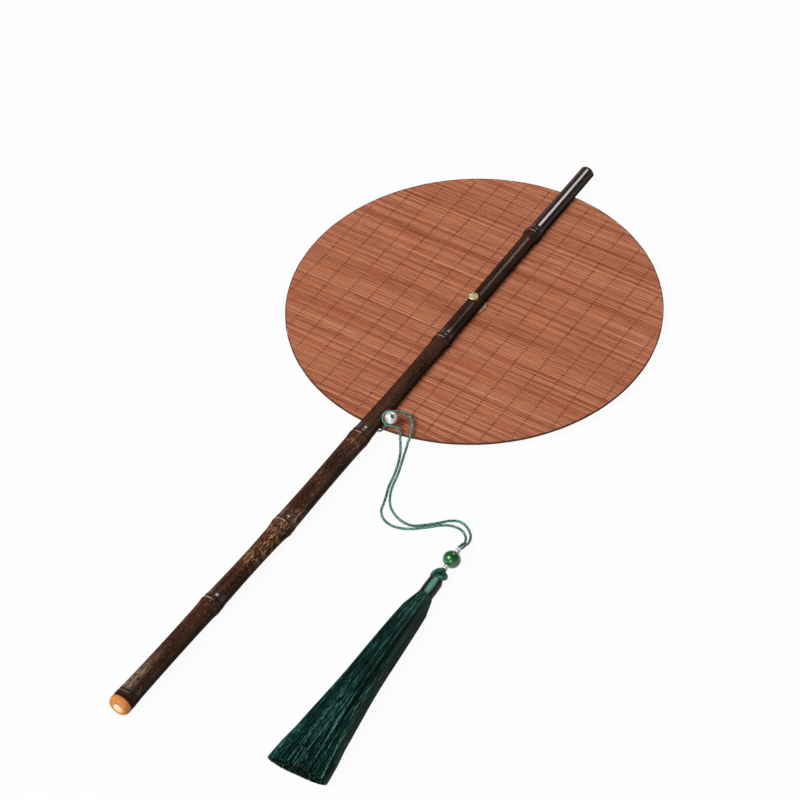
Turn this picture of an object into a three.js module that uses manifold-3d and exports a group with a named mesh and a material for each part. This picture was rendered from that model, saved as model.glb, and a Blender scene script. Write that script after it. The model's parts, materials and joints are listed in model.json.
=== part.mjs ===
// Round bamboo-blind hand fan: a leaf of bound slivers turns on a pin in a bamboo handle,
// and a tassel hangs from a stud on a doubled cord.
// Millimetres. +Y runs up the handle, +X to its right, +Z up from the surface that the fan lies on.
// The origin is on the pin's axis, at that surface.
import * as THREE from "three";
import { mergeVertices } from "three/addons/utils/BufferGeometryUtils.js";
import Module from "manifold-3d";

const wasm = await Module();
wasm.setup();

// Clearances
const pieceGap = 0.3;
const threadGap = 0.1;
const leafSweepGap = 0.8;
const slotGap = 0.2;
const studBoreClearance = 0.6;
const cutSpare = 12;
const mergeDistance = 1e-4;

// Leaf
const leafDiameter = 210;
const sliverPitch = 1.78;
const sliverThickness = 1.2;
const sliverGroove = 0.25;
const threadRows = 15;
const firstRowInset = 11;
const lastRowInset = 7.5;
const threadWidth = 0.5;
const threadThickness = 0.35;
const threadEndInset = 2.5;
const rimWall = 0.5;
const rimSegments = 72;

// Pivot
const pinShankDiameter = 3;
const pinHeadDiameter = 5.4;
const pinHeadRise = 1.3;
const pinHeadBevel = 0.35;
const pinSpotDepth = 0.6;
const eyeletWall = 0.7;
const eyeletFlangeDiameter = 10;
const eyeletFlangeThickness = 0.6;
const eyeletMouthDepth = 0.2;
const washerDiameter = 14;
const washerThickness = 0.5;
const rearCapDiameter = 8;
const rearCapThickness = 2.2;
const rearCapFloor = 0.6;
const rearCapBevel = 0.3;
const roundSegments = 32;

// Handle: the culm's stretches from the butt up, each with the ridge at its upper joint,
// and the sideways place of each joint
const culmStretches = [
  { length: 7.3, lowRadius: 6, highRadius: 5.9, waist: 0, flare: 0, ridge: 0.15 },
  { length: 70.6, lowRadius: 5.75, highRadius: 5.45, waist: 0.25, flare: 0.15, ridge: 0.35 },
  { length: 62.4, lowRadius: 5.5, highRadius: 5.2, waist: 0.33, flare: 0.6, ridge: 0.3 },
  { length: 72.5, lowRadius: 5.9, highRadius: 5.6, waist: 0.3, flare: 0, ridge: 0.3 },
  { length: 83.5, lowRadius: 5.4, highRadius: 4.8, waist: 0.42, flare: 0, ridge: 0.7 },
  { length: 98, lowRadius: 4.8, highRadius: 4.45, waist: 0.15, flare: 0.2, ridge: 0.75 },
  { length: 63, lowRadius: 4.55, highRadius: 4.25, waist: 0.02, flare: 0, ridge: 0 },
];
const culmOffsets = [-1.3, -1.2, 0.2, 1.6, 1.25, 0.85, 0, -0.3];
const pinAboveJoint = { joint: 5, distance: 35 };
const flareLength = 9;
const ridgeShape = [
  { along: -5, share: 0 },
  { along: -2.4, share: 0.5 },
  { along: -0.8, share: 0.9 },
  { along: -0.1, share: 1 },
  { along: 0.4, share: 0.35 },
  { along: 1.1, share: 0.2 },
  { along: 2.2, share: 0.6 },
  { along: 3.4, share: 0.35 },
  { along: 5.5, share: 0 },
];
const buttRoundAlong = 2.6;
const buttRoundAcross = 1.7;
const buttRoundSteps = 4;
const tipBevel = 0.7;
const culmSides = 20;
const culmRingSpacing = 16;
const plugDiameter = 4.4;
const plugLength = 12;

// Stud and cord
const studDiameter = 7;
const studRings = 10;
const studPlace = -100.2;
const studStandOff = 4;
const studAboveLeaf = 5.7;
const studAxis = new THREE.Vector3(0.5, -0.25, 0.83).normalize();
const hitchOpening = new THREE.Vector3(0.82, 0.573, 0);
const hitchOffset = -2;
const hitchFrom = 85;
const hitchTo = 262;
const hitchPoints = 9;
const cordDiameter = 1.4;
const cordSides = 8;
const cordStep = 3.5;
const hitchStep = 1.5;
const studCordDiameter = 1.1;
const anchorPlace = -108.2;
const anchorDrop = 0.6;
const anchorDepth = 3.4;
const anchorEndInset = 0.6;

// The stud's own cord on its way from the handle's side, from the stud's centre
const anchorBends = [
  [-2.2, -7.6, -4.6], [-1.6, -6.5, -4.4], [-1.5, -4.9, -4.3], [-1.9, -3, -4.3], [-2.4, -1.1, -4.35],
  [-2.5, 0.3, -4.05],
];

// Tassel, along its own axis from the cord's end
const tasselPivot = new THREE.Vector3(88, -155.8, 5.1);
const tasselTurn = 2.5;
const tasselLead = 0.6;
const coreCordDiameter = 1.2;
const beadSides = 20;
const spacerDiameter = 3.2;
const spacerRings = 6;
const jadeDiameter = 9.7;
const jadeLength = 9;
const jadeRings = 12;
const knotDiameter = 9.2;
const knotLength = 8.2;
const knotRings = 8;
const neckCoreDiameter = 6.6;
const windingThread = 0.5;
const windingPitch = 0.92;
const windingLoops = 10;
const windingSteps = 24;
const windingSides = 6;
const windingBendSteps = 3;
const skirtSections = [
  { along: 0, halfWidth: 4.2, bottom: 0.8, top: 8.6 },
  { along: 5, halfWidth: 5.9, bottom: 0.4, top: 9.3 },
  { along: 10, halfWidth: 6.8, bottom: 0.2, top: 9.8 },
  { along: 25, halfWidth: 7.9, bottom: 0, top: 10.4 },
  { along: 40, halfWidth: 8.8, bottom: 0, top: 10.6 },
  { along: 60, halfWidth: 9.9, bottom: 0, top: 10.4 },
  { along: 75, halfWidth: 11.2, bottom: 0, top: 10.2 },
  { along: 90, halfWidth: 12.8, bottom: 0, top: 9.8 },
  { along: 105, halfWidth: 14.4, bottom: 0, top: 9.2 },
  { along: 118, halfWidth: 16.4, bottom: 0, top: 8.4 },
  { along: 123.5, halfWidth: 16.7, bottom: 0, top: 8 },
];
const skirtSides = 20;
const skirtUnderside = 1.25;
const skirtFlatFrom = 25;

// The cord's two strands, from the stud to the tassel
const strandRight = [
  [9.3, -95.1, 9.95], [11.1, -92.9, 9], [13.2, -91.4, 8], [15.8, -91.2, 7.2], [18.3, -92.8, 6.7],
  [20.5, -95.7, 6.5], [22.4, -99, 6.4], [23.8, -102.6, 6], [24.5, -106.2, 4.4], [25.2, -109.4, 2.3],
  [26, -112.8, 1], [27.6, -117.4, 0.8], [30.6, -126.3, 0.8], [32.7, -134.6, 0.8], [35.2, -140.6, 0.8],
  [38.4, -145.6, 0.8], [42.1, -149, 0.8], [46.6, -151.4, 0.8], [51.6, -152.6, 0.8], [56.4, -152.2, 0.8],
  [60.2, -149.8, 0.8], [63.9, -146.7, 0.8], [67.6, -143.2, 0.8], [71.6, -139.3, 0.8], [76, -137.3, 0.8],
  [81.4, -138.6, 0.8], [86, -142.4, 0.8], [88.4, -148, 2], [88.9, -152, 4.2], [88.9, -155.5, 5.1],
];
const strandLeft = [
  [13.2, -101.6, 6.35], [14.8, -101.35, 6.2], [16.3, -101.8, 6.2], [17.5, -102.9, 6.1], [18.5, -104.4, 5.8],
  [19.9, -106.7, 4.8], [21.4, -108.9, 2.7], [23.2, -112, 1], [25.9, -117.9, 0.8], [28.9, -126.8, 0.8],
  [30.95, -135.15, 0.8], [33.3, -141.3, 0.8], [35.2, -146.8, 0.8], [36.8, -151.6, 0.8], [40.6, -155.7, 0.8],
  [46, -157.6, 0.8], [51.6, -157, 0.8], [57.4, -154.2, 0.8], [61.3, -151.2, 0.8], [65, -148.1, 0.8],
  [68.7, -144.7, 0.8], [72.2, -142.6, 0.8], [76, -141.6, 0.8], [80.2, -141.9, 0.8], [84.3, -144.6, 0.8],
  [86.6, -148.9, 2], [87.1, -152.5, 4.2], [87.1, -155.5, 5.1],
];

// Heights of the stack on the pin, from the surface up
const leafRadius = leafDiameter / 2;
const eyeletBottom = rearCapThickness + pieceGap;
const matBottom = eyeletBottom + eyeletFlangeThickness + pieceGap;
const matTop = matBottom + sliverThickness;
const washerBottom = matTop + pieceGap;
const flatHeight = washerBottom + washerThickness + pieceGap;
const shoulderPlace = -(leafRadius + leafSweepGap);

// Places along the culm, and its height on the widest of its ridges
const culmJoints = placeJoints();
const axisHeight = Math.max(...culmJoints.slice(1, -1).map((joint) => joint.crest));
const buttPlace = culmJoints[0].place;
const tipPlace = culmJoints.at(-1).place;
const crownHeight = axisHeight + culmRadius(0);

// The stud's place beside the culm and above the leaf, and the bores that cords pass through
const studCentre = new THREE.Vector3(culmSide(studPlace) + studStandOff, studPlace, matTop + studAboveLeaf);
const studBoreRadius = studCordDiameter / 2 + studBoreClearance;
const beadBoreRadius = coreCordDiameter / 2 + pieceGap;

// The neck is as long as its winding, with a bend and a straight end of one thread each at both ends
const neckLength = windingLoops * windingPitch + 4 * windingThread;

// Materials
const darkBamboo = finish("#2b1a14", 0.35, 0);
const paleWood = finish("#d9b48a", 0.7, 0);
const sliverBamboo = finish("#b0623f", 0.65, 0);
const purpleThread = finish("#4b3446", 0.8, 0);
const blackCloth = finish("#2b2b30", 0.85, 0);
const brass = finish("#c8a75a", 0.3, 1);
const silver = finish("#c9c9c6", 0.25, 1);
const jade = finish("#0f6b33", 0.15, 0);
const greenCord = finish("#3d7a66", 0.75, 0);
const darkSilk = finish("#0c3f36", 0.5, 0);

function finish(color, roughness, metalness) {
  return new THREE.MeshStandardMaterial({ color, roughness, metalness });
}

// A closed geometry as a solid that can be joined and cut
function solid(geometry) {
  const bare = geometry.clone();
  bare.deleteAttribute("normal");
  bare.deleteAttribute("uv");
  const merged = mergeVertices(bare, mergeDistance);
  const vertProperties = merged.attributes.position.array;
  const triVerts = new Uint32Array(merged.index.array);
  return new wasm.Manifold(new wasm.Mesh({ numProp: 3, vertProperties, triVerts }));
}

function geometryOf(made) {
  const { vertProperties, triVerts } = made.getMesh();
  const geometry = new THREE.BufferGeometry();
  geometry.setAttribute("position", new THREE.BufferAttribute(vertProperties, 3));
  geometry.setIndex(new THREE.BufferAttribute(triVerts, 1));
  return geometry;
}

// A profile of [radius, height] pairs turned about Z
function turned(profile, segments = roundSegments) {
  const points = profile.map(([radius, height]) => new THREE.Vector2(radius, height));
  return new THREE.LatheGeometry(points, segments).rotateX(Math.PI / 2);
}

function cylinder(radius, low, high) {
  return turned([[0, low], [radius, low], [radius, high], [0, high]]);
}

function block(low, high) {
  const size = new THREE.Vector3().subVectors(high, low);
  const middle = new THREE.Vector3().addVectors(low, high).multiplyScalar(0.5);
  return new THREE.BoxGeometry(size.x, size.y, size.z).translate(middle.x, middle.y, middle.z);
}

// A skin over rings of points, closed by a fan at each end, with its faces turned outwards
function loft(rings) {
  const sides = rings[0].length;
  const last = rings.length - 1;
  const corners = rings.flat();
  const index = [];
  for (let i = 0; i < last; i += 1) {
    for (let j = 0; j < sides; j += 1) {
      const a = i * sides + j;
      const b = i * sides + ((j + 1) % sides);
      index.push(a, b, a + sides, b, b + sides, a + sides);
    }
  }
  for (let j = 1; j < sides - 1; j += 1) {
    index.push(0, j + 1, j);
    index.push(last * sides, last * sides + j, last * sides + j + 1);
  }
  if (signedVolume(corners, index) < 0) index.reverse();
  return new THREE.BufferGeometry().setFromPoints(corners).setIndex(index);
}

function signedVolume(corners, index) {
  let volume = 0;
  for (let k = 0; k < index.length; k += 3) {
    const [a, b, c] = [corners[index[k]], corners[index[k + 1]], corners[index[k + 2]]];
    volume += a.dot(new THREE.Vector3().crossVectors(b, c));
  }
  return volume;
}

// A bead with a through bore, on the Z axis
function bead(radius, halfLength, boreRadius, rings) {
  const squash = halfLength / Math.sqrt(radius ** 2 - boreRadius ** 2);
  const reach = Math.acos(boreRadius / radius);
  const arc = Array.from({ length: rings + 1 }, (_, i) => {
    const angle = -reach + (2 * reach * i) / rings;
    return [radius * Math.cos(angle), radius * Math.sin(angle) * squash];
  });
  return turned([...arc, arc[0]], beadSides);
}

// A round cord along a curve
function cordTube(curve, diameter = cordDiameter, step = cordStep) {
  const corners = Array.from({ length: cordSides }, (_, i) => {
    const angle = (2 * Math.PI * i) / cordSides;
    return new THREE.Vector2(Math.cos(angle), Math.sin(angle)).multiplyScalar(diameter / 2);
  });
  const steps = Math.max(2, Math.round(curve.getLength() / step));
  return new THREE.ExtrudeGeometry(new THREE.Shape(corners), { steps, extrudePath: curve });
}

// The stretch of a curve between two lengths along it
class Stretch extends THREE.Curve {
  constructor(curve, from, to) {
    super();
    this.curve = curve;
    this.from = from / curve.getLength();
    this.to = to / curve.getLength();
  }
  getPoint(t) {
    return this.curve.getPointAt(THREE.MathUtils.lerp(this.from, this.to, t));
  }
}

// The culm's joints: place along Y, radii below and above, and the crest of the ridge
function placeJoints() {
  const places = culmStretches.reduce((list, { length }) => [...list, list.at(-1) + length], [0]);
  const pinPlace = places[pinAboveJoint.joint] + pinAboveJoint.distance;
  return places.map((place, i) => {
    const { highRadius, flare, ridge } = culmStretches[Math.max(i - 1, 0)];
    const below = highRadius + flare;
    const above = culmStretches[Math.min(i, culmStretches.length - 1)].lowRadius;
    return { place: place - pinPlace, below, above, crest: Math.max(below, above) + ridge };
  });
}

function culmStretchAt(place) {
  const found = culmJoints.findIndex((joint, i) => i > 0 && place <= joint.place);
  return (found < 0 ? culmJoints.length - 1 : found) - 1;
}

function culmRadius(place) {
  const i = culmStretchAt(place);
  const { length, lowRadius, highRadius, waist, flare } = culmStretches[i];
  const t = (place - culmJoints[i].place) / length;
  const swell = flare * Math.exp((place - culmJoints[i + 1].place) / flareLength);
  return THREE.MathUtils.lerp(lowRadius, highRadius, t) - waist * Math.sin(Math.PI * t) + swell;
}

function culmOffset(place) {
  const i = culmStretchAt(place);
  const t = (place - culmJoints[i].place) / culmStretches[i].length;
  return THREE.MathUtils.lerp(culmOffsets[i], culmOffsets[i + 1], t);
}

function culmSide(place) {
  return culmOffset(place) + culmRadius(place);
}

function culmRing(place, radius) {
  return Array.from({ length: culmSides }, (_, j) => {
    const angle = (2 * Math.PI * j) / culmSides;
    const x = culmOffset(place) + radius * Math.cos(angle);
    return new THREE.Vector3(x, place, axisHeight + radius * Math.sin(angle));
  });
}

function ridgeRings(joint, stretchBelow) {
  return ridgeShape
    .filter(({ along }) => along >= 0 || -along < stretchBelow.length)
    .map(({ along, share }) => {
      const place = joint.place + along;
      const plain = culmRadius(place);
      return culmRing(place, THREE.MathUtils.lerp(plain, joint.crest, share));
    });
}

// The stretch's own rings lie between the ridges at its two ends
function stretchRings(i) {
  const from = culmJoints[i].place + (i > 0 ? ridgeShape.at(-1).along : buttRoundAlong);
  const to = culmJoints[i + 1].place + (i < culmStretches.length - 1 ? ridgeShape[0].along : 0);
  const steps = Math.ceil((to - from) / culmRingSpacing);
  return Array.from({ length: Math.max(steps - 1, 0) }, (_, k) => {
    const place = THREE.MathUtils.lerp(from, to, (k + 1) / steps);
    return culmRing(place, culmRadius(place));
  });
}

function buttRings() {
  const radius = culmRadius(buttPlace);
  return Array.from({ length: buttRoundSteps + 1 }, (_, k) => {
    const angle = (Math.PI / 2) * (k / buttRoundSteps);
    const place = buttPlace + buttRoundAlong * (1 - Math.cos(angle));
    return culmRing(place, radius - buttRoundAcross * (1 - Math.sin(angle)));
  });
}

function culmRings() {
  const rings = buttRings();
  culmStretches.forEach((stretch, i) => {
    rings.push(...stretchRings(i));
    if (i < culmStretches.length - 1) rings.push(...ridgeRings(culmJoints[i + 1], stretch));
  });
  rings.push(culmRing(tipPlace - tipBevel, culmRadius(tipPlace)));
  rings.push(culmRing(tipPlace, culmRadius(tipPlace) - tipBevel));
  return rings;
}

// Handle: one culm, bored for the pin, the stud's cord and the butt's plug. It is kept as two solids
// that meet at the leaf's edge: the round grip, and the stretch that is planed flat behind the leaf.
function boredCulm() {
  const pinBore = cylinder(pinShankDiameter / 2 + pieceGap, 0, crownHeight + cutSpare);
  const spot = cylinder(pinHeadDiameter / 2 + pieceGap, crownHeight - pinSpotDepth, crownHeight + cutSpare);
  const plugBore = cylinder(plugDiameter / 2 + pieceGap, -cutSpare, plugLength + pieceGap)
    .rotateX(-Math.PI / 2)
    .translate(culmOffset(buttPlace), buttPlace, axisHeight);
  const mouth = anchorMouth();
  const cordBore = cylinder(studCordDiameter / 2 + pieceGap, -anchorDepth - pieceGap, cutSpare)
    .rotateY(Math.PI / 2)
    .translate(mouth.x, mouth.y, mouth.z);
  return [pinBore, spot, plugBore, cordBore].reduce(
    (culm, cut) => culm.subtract(solid(cut)),
    solid(loft(culmRings())),
  );
}

function culmGrip() {
  const beyond = block(
    new THREE.Vector3(-2 * cutSpare, shoulderPlace, -cutSpare),
    new THREE.Vector3(2 * cutSpare, tipPlace + cutSpare, crownHeight + cutSpare),
  );
  return boredCulm().subtract(solid(beyond));
}

function culmPlaned() {
  const grip = block(
    new THREE.Vector3(-2 * cutSpare, buttPlace - cutSpare, -cutSpare),
    new THREE.Vector3(2 * cutSpare, shoulderPlace, crownHeight + cutSpare),
  );
  const underside = block(
    new THREE.Vector3(-2 * cutSpare, shoulderPlace - cutSpare, -cutSpare),
    new THREE.Vector3(2 * cutSpare, tipPlace + cutSpare, flatHeight),
  );
  return boredCulm().subtract(solid(grip)).subtract(solid(underside));
}

function buttPlug() {
  return cylinder(plugDiameter / 2, 0, plugLength)
    .rotateX(-Math.PI / 2)
    .translate(culmOffset(buttPlace), buttPlace, axisHeight);
}

// Pivot: pin with a bevelled head, washer under the handle, eyelet in the leaf and cap behind it
function pivotPin() {
  const shank = pinShankDiameter / 2;
  const head = pinHeadDiameter / 2;
  const headBottom = crownHeight - pinSpotDepth + pieceGap;
  const headTop = crownHeight + pinHeadRise;
  return turned([
    [0, rearCapFloor + pieceGap],
    [shank, rearCapFloor + pieceGap],
    [shank, headBottom],
    [head, headBottom],
    [head, headTop - pinHeadBevel],
    [head - pinHeadBevel, headTop],
    [0, headTop],
  ]);
}

function flatRing(outer, inner, low, high) {
  return turned([[inner, low], [outer, low], [outer, high], [inner, high], [inner, low]]);
}

function frontWasher() {
  const bore = pinShankDiameter / 2 + pieceGap;
  return flatRing(washerDiameter / 2, bore, washerBottom, washerBottom + washerThickness);
}

function hubEyelet() {
  const bore = pinShankDiameter / 2 + pieceGap;
  const wall = bore + eyeletWall;
  const flange = eyeletFlangeDiameter / 2;
  const mouth = matTop - eyeletMouthDepth;
  const seat = eyeletBottom + eyeletFlangeThickness;
  return turned([
    [bore, eyeletBottom],
    [flange, eyeletBottom],
    [flange, seat],
    [wall, seat],
    [wall, mouth],
    [bore, mouth],
    [bore, eyeletBottom],
  ]);
}

function rearCap() {
  const outer = rearCapDiameter / 2;
  const bore = pinShankDiameter / 2 + pieceGap;
  return turned([
    [0, 0],
    [outer - rearCapBevel, 0],
    [outer, rearCapBevel],
    [outer, rearCapThickness],
    [bore, rearCapThickness],
    [bore, rearCapFloor],
    [0, rearCapFloor],
  ]);
}

// Leaf: rows of binding thread, each a long loop over both faces, stopped short of the hub
function threadLoops() {
  const pitch = (leafDiameter - firstRowInset - lastRowInset) / (threadRows - 1);
  const hubReach = washerDiameter / 2 + threadThickness + 2 * slotGap;
  const loops = [];
  for (let i = 0; i < threadRows; i += 1) {
    const x = -leafRadius + firstRowInset + i * pitch;
    const reach = Math.sqrt((leafRadius - threadEndInset) ** 2 - x ** 2);
    const name = `binding_thread_${String(i + 1).padStart(2, "0")}`;
    if (Math.abs(x) > hubReach + threadWidth) {
      loops.push({ name, x, low: -reach, high: reach });
    } else {
      loops.push({ name: `${name}_lower`, x, low: -reach, high: -hubReach });
      loops.push({ name: `${name}_upper`, x, low: hubReach, high: reach });
    }
  }
  return loops;
}

function rectangle(shape, left, bottom, right, top) {
  shape.moveTo(left, bottom);
  shape.lineTo(right, bottom);
  shape.lineTo(right, top);
  shape.lineTo(left, top);
  shape.closePath();
  return shape;
}

// A shape drawn in Y and Z, drawn out along X
function alongX(shape, from, to) {
  const [x, y, z] = [new THREE.Vector3(1, 0, 0), new THREE.Vector3(0, 1, 0), new THREE.Vector3(0, 0, 1)];
  return new THREE.ExtrudeGeometry(shape, { depth: to - from, bevelEnabled: false })
    .applyMatrix4(new THREE.Matrix4().makeBasis(y, z, x))
    .translate(from, 0, 0);
}

function bindingThread({ x, low, high }) {
  const bottom = matBottom - threadGap;
  const top = matTop + threadGap;
  const t = threadThickness;
  const shape = rectangle(new THREE.Shape(), low, bottom - t, high, top + t);
  shape.holes.push(rectangle(new THREE.Path(), low + t, bottom, high - t, top));
  return alongX(shape, x - threadWidth / 2, x + threadWidth / 2);
}

// The slivers lie side by side across the handle, joined at the bottom of the grooves between them
function sliverProfile(reach) {
  const count = Math.ceil((2 * reach) / sliverPitch);
  const first = (-count * sliverPitch) / 2;
  const top = [];
  const bottom = [];
  for (let i = 0; i < count; i += 1) {
    const y = first + i * sliverPitch;
    const next = y + sliverPitch;
    top.push([y, matTop - sliverGroove], [y + sliverGroove, matTop], [next - sliverGroove, matTop]);
    bottom.push([y, matBottom + sliverGroove], [y + sliverPitch / 2, matBottom]);
  }
  const end = first + count * sliverPitch;
  top.push([end, matTop - sliverGroove]);
  bottom.push([end, matBottom + sliverGroove]);
  return new THREE.Shape([...bottom, ...top.reverse()].map(([y, z]) => new THREE.Vector2(y, z)));
}

function bambooMat(loops) {
  const radius = leafRadius - rimWall - pieceGap;
  const slivers = solid(alongX(sliverProfile(radius), -leafRadius, leafRadius));
  const disc = solid(turned([[0, 0], [radius, 0], [radius, cutSpare], [0, cutSpare]], rimSegments));
  const hub = cylinder(pinShankDiameter / 2 + eyeletWall + 2 * pieceGap, 0, cutSpare);
  const halfWidth = threadWidth / 2 + slotGap;
  const slots = loops.flatMap(({ x, low, high }) =>
    [low, high - threadThickness].map((end) =>
      block(
        new THREE.Vector3(x - halfWidth, end - slotGap, 0),
        new THREE.Vector3(x + halfWidth, end + threadThickness + slotGap, cutSpare),
      ),
    ),
  );
  return [hub, ...slots].reduce((mat, cut) => mat.subtract(solid(cut)), slivers.intersect(disc));
}

// A thin band round the cut ends of the slivers
function rimBinding() {
  const inner = leafRadius - rimWall;
  const profile = [[inner, matBottom], [leafRadius, matBottom], [leafRadius, matTop], [inner, matTop]];
  return turned([...profile, profile[0]], rimSegments);
}

// Stud: a bored bead whose own cord comes out of the handle's side and ends in the bead's mouth
function cordStud() {
  const half = Math.sqrt((studDiameter / 2) ** 2 - studBoreRadius ** 2);
  const turn = new THREE.Quaternion().setFromUnitVectors(new THREE.Vector3(0, 0, 1), studAxis);
  return bead(studDiameter / 2, half, studBoreRadius, studRings)
    .applyQuaternion(turn)
    .translate(studCentre.x, studCentre.y, studCentre.z);
}

function anchorMouth() {
  return new THREE.Vector3(culmSide(anchorPlace), anchorPlace, axisHeight - anchorDrop);
}

function anchorRoute() {
  const mouth = anchorMouth();
  const inside = mouth.clone().add(new THREE.Vector3(-anchorDepth, 0, 0));
  return new THREE.CatmullRomCurve3([
    inside,
    inside.clone().lerp(mouth, 0.5),
    mouth,
    ...anchorBends.map(([x, y, z]) => studCentre.clone().add(new THREE.Vector3(x, y, z))),
    studCentre.clone().addScaledVector(studAxis, -studDiameter / 2),
    studCentre.clone(),
    studCentre.clone().addScaledVector(studAxis, studDiameter / 2 - anchorEndInset),
  ]);
}

// The doubled cord: down the right strand, round the stud and back up the left one
function hitchRoute() {
  const opening = hitchOpening.clone().projectOnPlane(studAxis).normalize();
  const upward = new THREE.Vector3().crossVectors(studAxis, opening);
  const reach = studDiameter / 2 + pieceGap + cordDiameter / 2;
  const radius = Math.sqrt(reach ** 2 - hitchOffset ** 2);
  const middle = studCentre.clone().addScaledVector(studAxis, hitchOffset);
  return Array.from({ length: hitchPoints }, (_, i) => {
    const angle = THREE.MathUtils.degToRad(THREE.MathUtils.lerp(hitchFrom, hitchTo, i / (hitchPoints - 1)));
    return middle
      .clone()
      .addScaledVector(opening, radius * Math.cos(angle))
      .addScaledVector(upward, radius * Math.sin(angle));
  });
}

function cordStretches() {
  const point = ([x, y, z]) => new THREE.Vector3(x, y, z);
  const right = strandRight.map(point).reverse();
  const left = strandLeft.map(point);
  const hitch = hitchRoute();
  const whole = new THREE.CatmullRomCurve3([...right, ...hitch, ...left]);
  whole.arcLengthDivisions = 2000;
  const total = whole.getLength();
  const count = right.length + hitch.length + left.length - 1;
  const start = lengthTo(whole, right.length / count);
  const end = lengthTo(whole, (right.length + hitch.length - 1) / count);
  return {
    right: new Stretch(whole, 0, start - pieceGap / 2),
    hitch: new Stretch(whole, start + pieceGap / 2, end - pieceGap / 2),
    left: new Stretch(whole, end + pieceGap / 2, total),
  };
}

function lengthTo(curve, t) {
  const lengths = curve.getLengths(curve.arcLengthDivisions);
  return lengths[Math.round(t * curve.arcLengthDivisions)];
}

// Tassel pieces, each between two places along the tassel's axis
function tasselPlaces() {
  const pieces = [
    ["upperSpacer", spacerDiameter],
    ["jade", jadeLength],
    ["lowerSpacer", spacerDiameter],
    ["knot", knotLength],
    ["neck", neckLength],
    ["skirt", skirtSections.at(-1).along],
  ];
  const places = {};
  let from = tasselLead;
  for (const [name, length] of pieces) {
    places[name] = { from, to: from + length, middle: from + length / 2 };
    from += length + pieceGap;
  }
  return places;
}

function alongTassel(geometry, middle) {
  return geometry.rotateX(Math.PI / 2).translate(0, -middle, 0);
}

function spacerBead(middle) {
  return alongTassel(bead(spacerDiameter / 2, spacerDiameter / 2, beadBoreRadius, spacerRings), middle);
}

function jadeBead(middle) {
  return alongTassel(bead(jadeDiameter / 2, jadeLength / 2, beadBoreRadius, jadeRings), middle);
}

function coreCord(places) {
  return alongTassel(cylinder(coreCordDiameter / 2, tasselLead, places.lowerSpacer.to), 0);
}

function tasselKnot(places) {
  const arc = Array.from({ length: knotRings + 1 }, (_, i) => {
    const angle = -Math.PI / 2 + (Math.PI * i) / knotRings;
    return [(knotDiameter / 2) * Math.cos(angle), (knotLength / 2) * Math.sin(angle)];
  });
  arc[0][0] = 0;
  arc[knotRings][0] = 0;
  return alongTassel(turned(arc, beadSides), places.knot.middle);
}

function neckCore(places) {
  return alongTassel(cylinder(neckCoreDiameter / 2, -neckLength / 2, neckLength / 2), places.neck.middle);
}

// The winding's centre line: a helix whose ends turn and run straight along the neck
function windingRoute(middle) {
  const radius = neckCoreDiameter / 2 + pieceGap + windingThread / 2;
  const turn = (angle, along) =>
    new THREE.Vector3(radius * Math.cos(angle), middle + along, radius * Math.sin(angle));
  const half = (windingLoops * windingPitch) / 2;
  const total = windingLoops * windingSteps;
  const helix = Array.from({ length: total + 1 }, (_, i) =>
    turn((2 * Math.PI * i) / windingSteps, -half + (2 * half * i) / total),
  );
  const quarter = Array.from({ length: windingBendSteps }, (_, i) =>
    (Math.PI / 2) * ((i + 1) / windingBendSteps),
  );
  const bend = windingThread;
  const lastAngle = 2 * Math.PI * windingLoops;
  const foot = quarter.map((a) => turn((-bend * Math.sin(a)) / radius, -half - bend * (1 - Math.cos(a))));
  const head = quarter.map((a) =>
    turn(lastAngle + (bend * Math.sin(a)) / radius, half + bend * (1 - Math.cos(a))),
  );
  const straight = new THREE.Vector3(0, windingThread, 0);
  const footEnd = foot.at(-1).clone().sub(straight);
  const headEnd = head.at(-1).clone().add(straight);
  return [footEnd, ...foot.reverse(), ...helix, ...head, headEnd];
}

// Least distance between loops: the tube's gap to itself
function leastGap(route) {
  let least = Infinity;
  const apart = Math.round(windingSteps / 2);
  for (let i = 0; i < route.length; i += 1) {
    for (let j = i + apart; j < route.length; j += 1) {
      least = Math.min(least, route[i].distanceTo(route[j]));
    }
  }
  return least - windingThread;
}

function neckWinding(places) {
  const route = windingRoute(-places.neck.middle);
  console.log(`neck winding: least gap to itself ${leastGap(route).toFixed(2)} mm`);
  let across = new THREE.Vector3(1, 0, 0);
  const rings = route.map((point, i) => {
    const before = route[Math.max(i - 1, 0)];
    const after = route[Math.min(i + 1, route.length - 1)];
    const ahead = new THREE.Vector3().subVectors(after, before).normalize();
    across = across.clone().projectOnPlane(ahead).normalize();
    const beside = new THREE.Vector3().crossVectors(ahead, across);
    return Array.from({ length: windingSides }, (_, k) => {
      const angle = (2 * Math.PI * k) / windingSides;
      return point
        .clone()
        .addScaledVector(across, (windingThread / 2) * Math.cos(angle))
        .addScaledVector(beside, (windingThread / 2) * Math.sin(angle));
    });
  });
  return loft(rings);
}

// The skirt of silk threads: round at the neck, spread and flattened on the surface at its end
function tasselSkirt(places) {
  const rings = skirtSections.map(({ along, halfWidth, bottom, top }) => {
    const middle = (bottom + top) / 2 - tasselPivot.z;
    const half = (top - bottom) / 2;
    const flatness = Math.min(along / skirtFlatFrom, 1);
    return Array.from({ length: skirtSides }, (_, j) => {
      const angle = (2 * Math.PI * j) / skirtSides;
      const sink = Math.sin(angle) < 0 ? THREE.MathUtils.lerp(1, skirtUnderside, flatness) : 1;
      const height = Math.max(half * sink * Math.sin(angle), -half);
      return new THREE.Vector3(halfWidth * Math.cos(angle), -places.skirt.from - along, middle + height);
    });
  });
  return loft(rings);
}

// Assembly
function named(name, shape, material) {
  const geometry = shape.isBufferGeometry ? shape : geometryOf(shape);
  const mesh = new THREE.Mesh(geometry, material);
  mesh.name = name;
  return mesh;
}

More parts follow.
